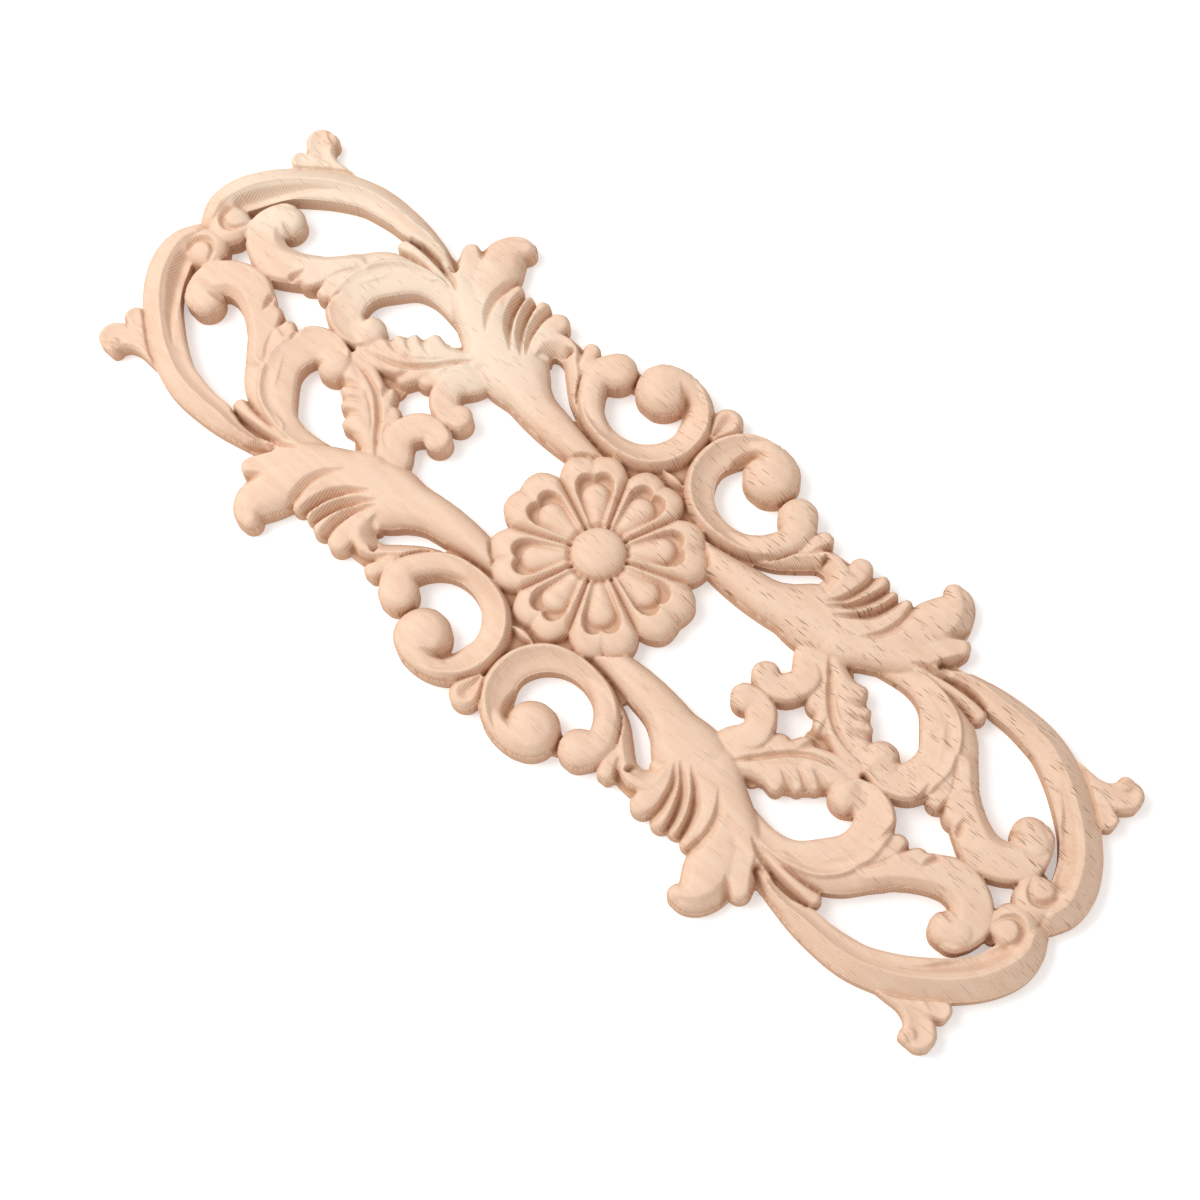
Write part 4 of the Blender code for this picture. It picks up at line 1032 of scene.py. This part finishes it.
# %% Pores
PORE_BROWN = (0.200, 0.085, 0.040, 1)
PORE_CELL = (0.010, 0.0006, 1.0)
PORE_RIM = (0.12, 0.19)
PORE_SHARE = 0.85
SPECK_CELL = (0.0045, 0.0005, 1.0)
SPECK_RIM = (0.10, 0.19)
SPECK_SHARE = 0.35
CROWD_SIZE = (0.006, 0.0016, 0.004)
PORE_CROWD = (0.45, 0.62)
SPECK_CROWD = (0.38, 0.70)
MORE_ALONG = (-0.040, 0.040)
MORE_ACROSS = (-0.020, 0.015)
FEWEST_ALONG = 0.40
FEWEST_ACROSS = 0.30


def pore_marks(place):
    """Long pores and short specks, in patches, and most of them towards one corner."""
    crowd = place.noise(CROWD_SIZE)
    corner = FEWEST_ACROSS + (1 - FEWEST_ACROSS) * place.part("Y").fade(*MORE_ACROSS)
    corner = corner * (FEWEST_ALONG + (1 - FEWEST_ALONG) * place.part("X").fade(*MORE_ALONG))
    pores = (1 - place.cells(PORE_CELL).fade(*PORE_RIM)) * crowd.fade(*PORE_CROWD) * corner
    specks = (1 - place.cells(SPECK_CELL).fade(*SPECK_RIM)) * crowd.fade(*SPECK_CROWD) * corner
    return pores, specks


print("pores about", *[round(sum(PORE_RIM) * side / MM, 2) for side in PORE_CELL[:2]], "mm long and wide")

# %% Ridges and the finish
RIDGE_PITCH = 0.00053
RIDGE_FADE = (0.80, 0.985)
RIDGE_SHADE_SHARE = 0.11
RIDGE_RISE = 1.4
FUZZ_RISE = 1.6
PORE_SINK = 0.6
SPECK_SINK = 0.2
BUMP = {"Strength": 0.55, "Distance": 0.00005}
ROUGHNESS = 0.72
FIBRE_ROUGHNESS = 0.12
SPECULAR = 0.3


def bare_wood():
    material = bpy.data.materials.new("bare_wood")
    material.use_nodes = True
    tree = material.node_tree
    surface = tree.nodes["Principled BSDF"]
    place = Shade(tree).node("ShaderNodeTexCoord", output="Object")
    upward = place.node("ShaderNodeNewGeometry", output="True Normal").part("Z")
    fibres = place.noise(FIBRE_SIZE)
    fuzz = place.noise(FUZZ_SIZE)
    pores, specks = pore_marks(place)
    slope = 1 - upward.fade(*RIDGE_FADE)
    ridge = place.sum("SINE", place.part("X") * (2 * math.pi / RIDGE_PITCH))

    # the tone gets painted shade in the hollows and on the walls
    tone = with_painted_shade(wood_tones(place, fibres, fuzz), place, upward)
    tone = (pores * PORE_SHARE).mix(tone, PORE_BROWN)
    tone = (specks * SPECK_SHARE).mix(tone, PORE_BROWN)
    # painted shade in the valleys of the cutter ridges on the slopes
    tone = ((1 - ridge) * slope * RIDGE_SHADE_SHARE).mix(tone, SHADE_BROWN)
    height = ridge * slope * RIDGE_RISE + fuzz * FUZZ_RISE - pores * PORE_SINK - specks * SPECK_SINK
    bump = place.node("ShaderNodeBump", inputs={**BUMP, "Height": height})
    roughness = ROUGHNESS + FIBRE_ROUGHNESS * fibres

    tree.links.new(tone.socket, surface.inputs["Base Color"])
    tree.links.new(bump.socket, surface.inputs["Normal"])
    tree.links.new(roughness.socket, surface.inputs["Roughness"])
    surface.inputs["Specular IOR Level"].default_value = SPECULAR
    return material


wood = bare_wood()
print("wood with", len(wood.node_tree.nodes), "nodes")

# %% [markdown]
# ## Putting it together
#
# The tree's result becomes a plain mesh. Its walls are told apart from its top by their upright faces,
# and the edge between them stays sharp, while the carving is shaded smooth. How deep each point lies
# under its surroundings is kept on the mesh, because the hollows are given painted shade, browner than
# the ridges.

# %% Run the tree
MOST_TRIANGLES = 196000


def run_tree(source, tree, wood):
    nodes = source.modifiers.new("four quarters", "NODES")
    nodes.node_group = tree
    for item in tree.interface.items_tree:
        if item.in_out == "INPUT" and item.name == "Wood":
            nodes[item.identifier] = wood
    fine = count_triangles(source)
    thin = source.modifiers.new("fewer faces", "DECIMATE")
    thin.ratio = min(1.0, MOST_TRIANGLES / fine)
    print("whole piece", fine, "triangles, kept", count_triangles(source))
    result = source.evaluated_get(bpy.context.evaluated_depsgraph_get())
    mesh = bpy.data.meshes.new_from_object(result)
    source.modifiers.clear()
    return mesh


mesh = run_tree(quarter, tree, wood)
bpy.data.objects.remove(quarter)
bpy.data.collections.remove(workbench)

# %% Sharp rims and hollows
UPRIGHT = 0.05
CREASE_DEG = 60
HOLLOW_REACH = 2.5
WALL_FOOT = 1.0
SAMPLE_STRIDE = 2


def sharpen_rims(mesh):
    """Keep the edge between a sawn wall and the carved top sharp."""
    form = bmesh.new()
    form.from_mesh(mesh)
    sharp = 0
    for edge in form.edges:
        if len(edge.link_faces) == 2:
            upright = [abs(face.normal.z) < UPRIGHT for face in edge.link_faces]
            edge.smooth = upright[0] == upright[1] and edge.calc_face_angle() < math.radians(CREASE_DEG)
            sharp += not edge.smooth
    for face in form.faces:
        face.smooth = True
    open_edges = sum(not edge.is_manifold for edge in form.edges)
    form.to_mesh(mesh)
    form.free()
    return sharp, open_edges


def keep_hollows(mesh):
    """Store how far each point lies under the average height around it, in millimetres."""
    xs, ys, height, inside = quarter_field(carving, 0, GRID_STEP)
    around = np.where(inside > 0, height, np.nan)
    total = np.zeros(around.shape)
    count = np.zeros(around.shape)
    reach = int(round(HOLLOW_REACH / GRID_STEP))
    padded = np.pad(around, reach, mode="reflect")
    rows, columns = around.shape
    for down in range(-reach, reach + 1, SAMPLE_STRIDE):
        for over in range(-reach, reach + 1, SAMPLE_STRIDE):
            if down * down + over * over <= reach * reach:
                piece = padded[reach + down:reach + down + rows, reach + over:reach + over + columns]
                total += np.nan_to_num(piece)
                count += np.isfinite(piece)
    depth = np.where(inside > 0, total / np.maximum(count, 1) - height, 0)
    points = np.empty(len(mesh.vertices) * 3)
    mesh.vertices.foreach_get("co", points)
    points = points.reshape(-1, 3) / MM
    column = np.clip(np.rint(np.abs(points[:, 0]) / GRID_STEP).astype(int), 0, len(xs) - 1)
    row = np.clip(np.rint(np.abs(points[:, 1]) / GRID_STEP).astype(int), 0, len(ys) - 1)
    values = np.where(points[:, 2] > WALL_FOOT, depth[row, column], 0)
    # this depth under the surroundings sets the painted shade of the wood in its hollows
    hollow = mesh.attributes.new("hollow", "FLOAT", "POINT")
    hollow.data.foreach_set("value", values.astype(np.float32))
    return values.min(), values.max()


print("sharp and open edges", sharpen_rims(mesh))
print("hollows from", *[round(float(v), 2) for v in keep_hollows(mesh)], "mm")

# %% The finished piece in the scene
applique = bpy.data.objects.new("carved_wood", mesh)
bpy.context.scene.collection.objects.link(applique)
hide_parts(NAME)
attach(applique, "root")
print("applique", [round(1000 * side, 1) for side in applique.dimensions], "mm")

# %% Bring the scene up to date
bpy.context.view_layer.update()
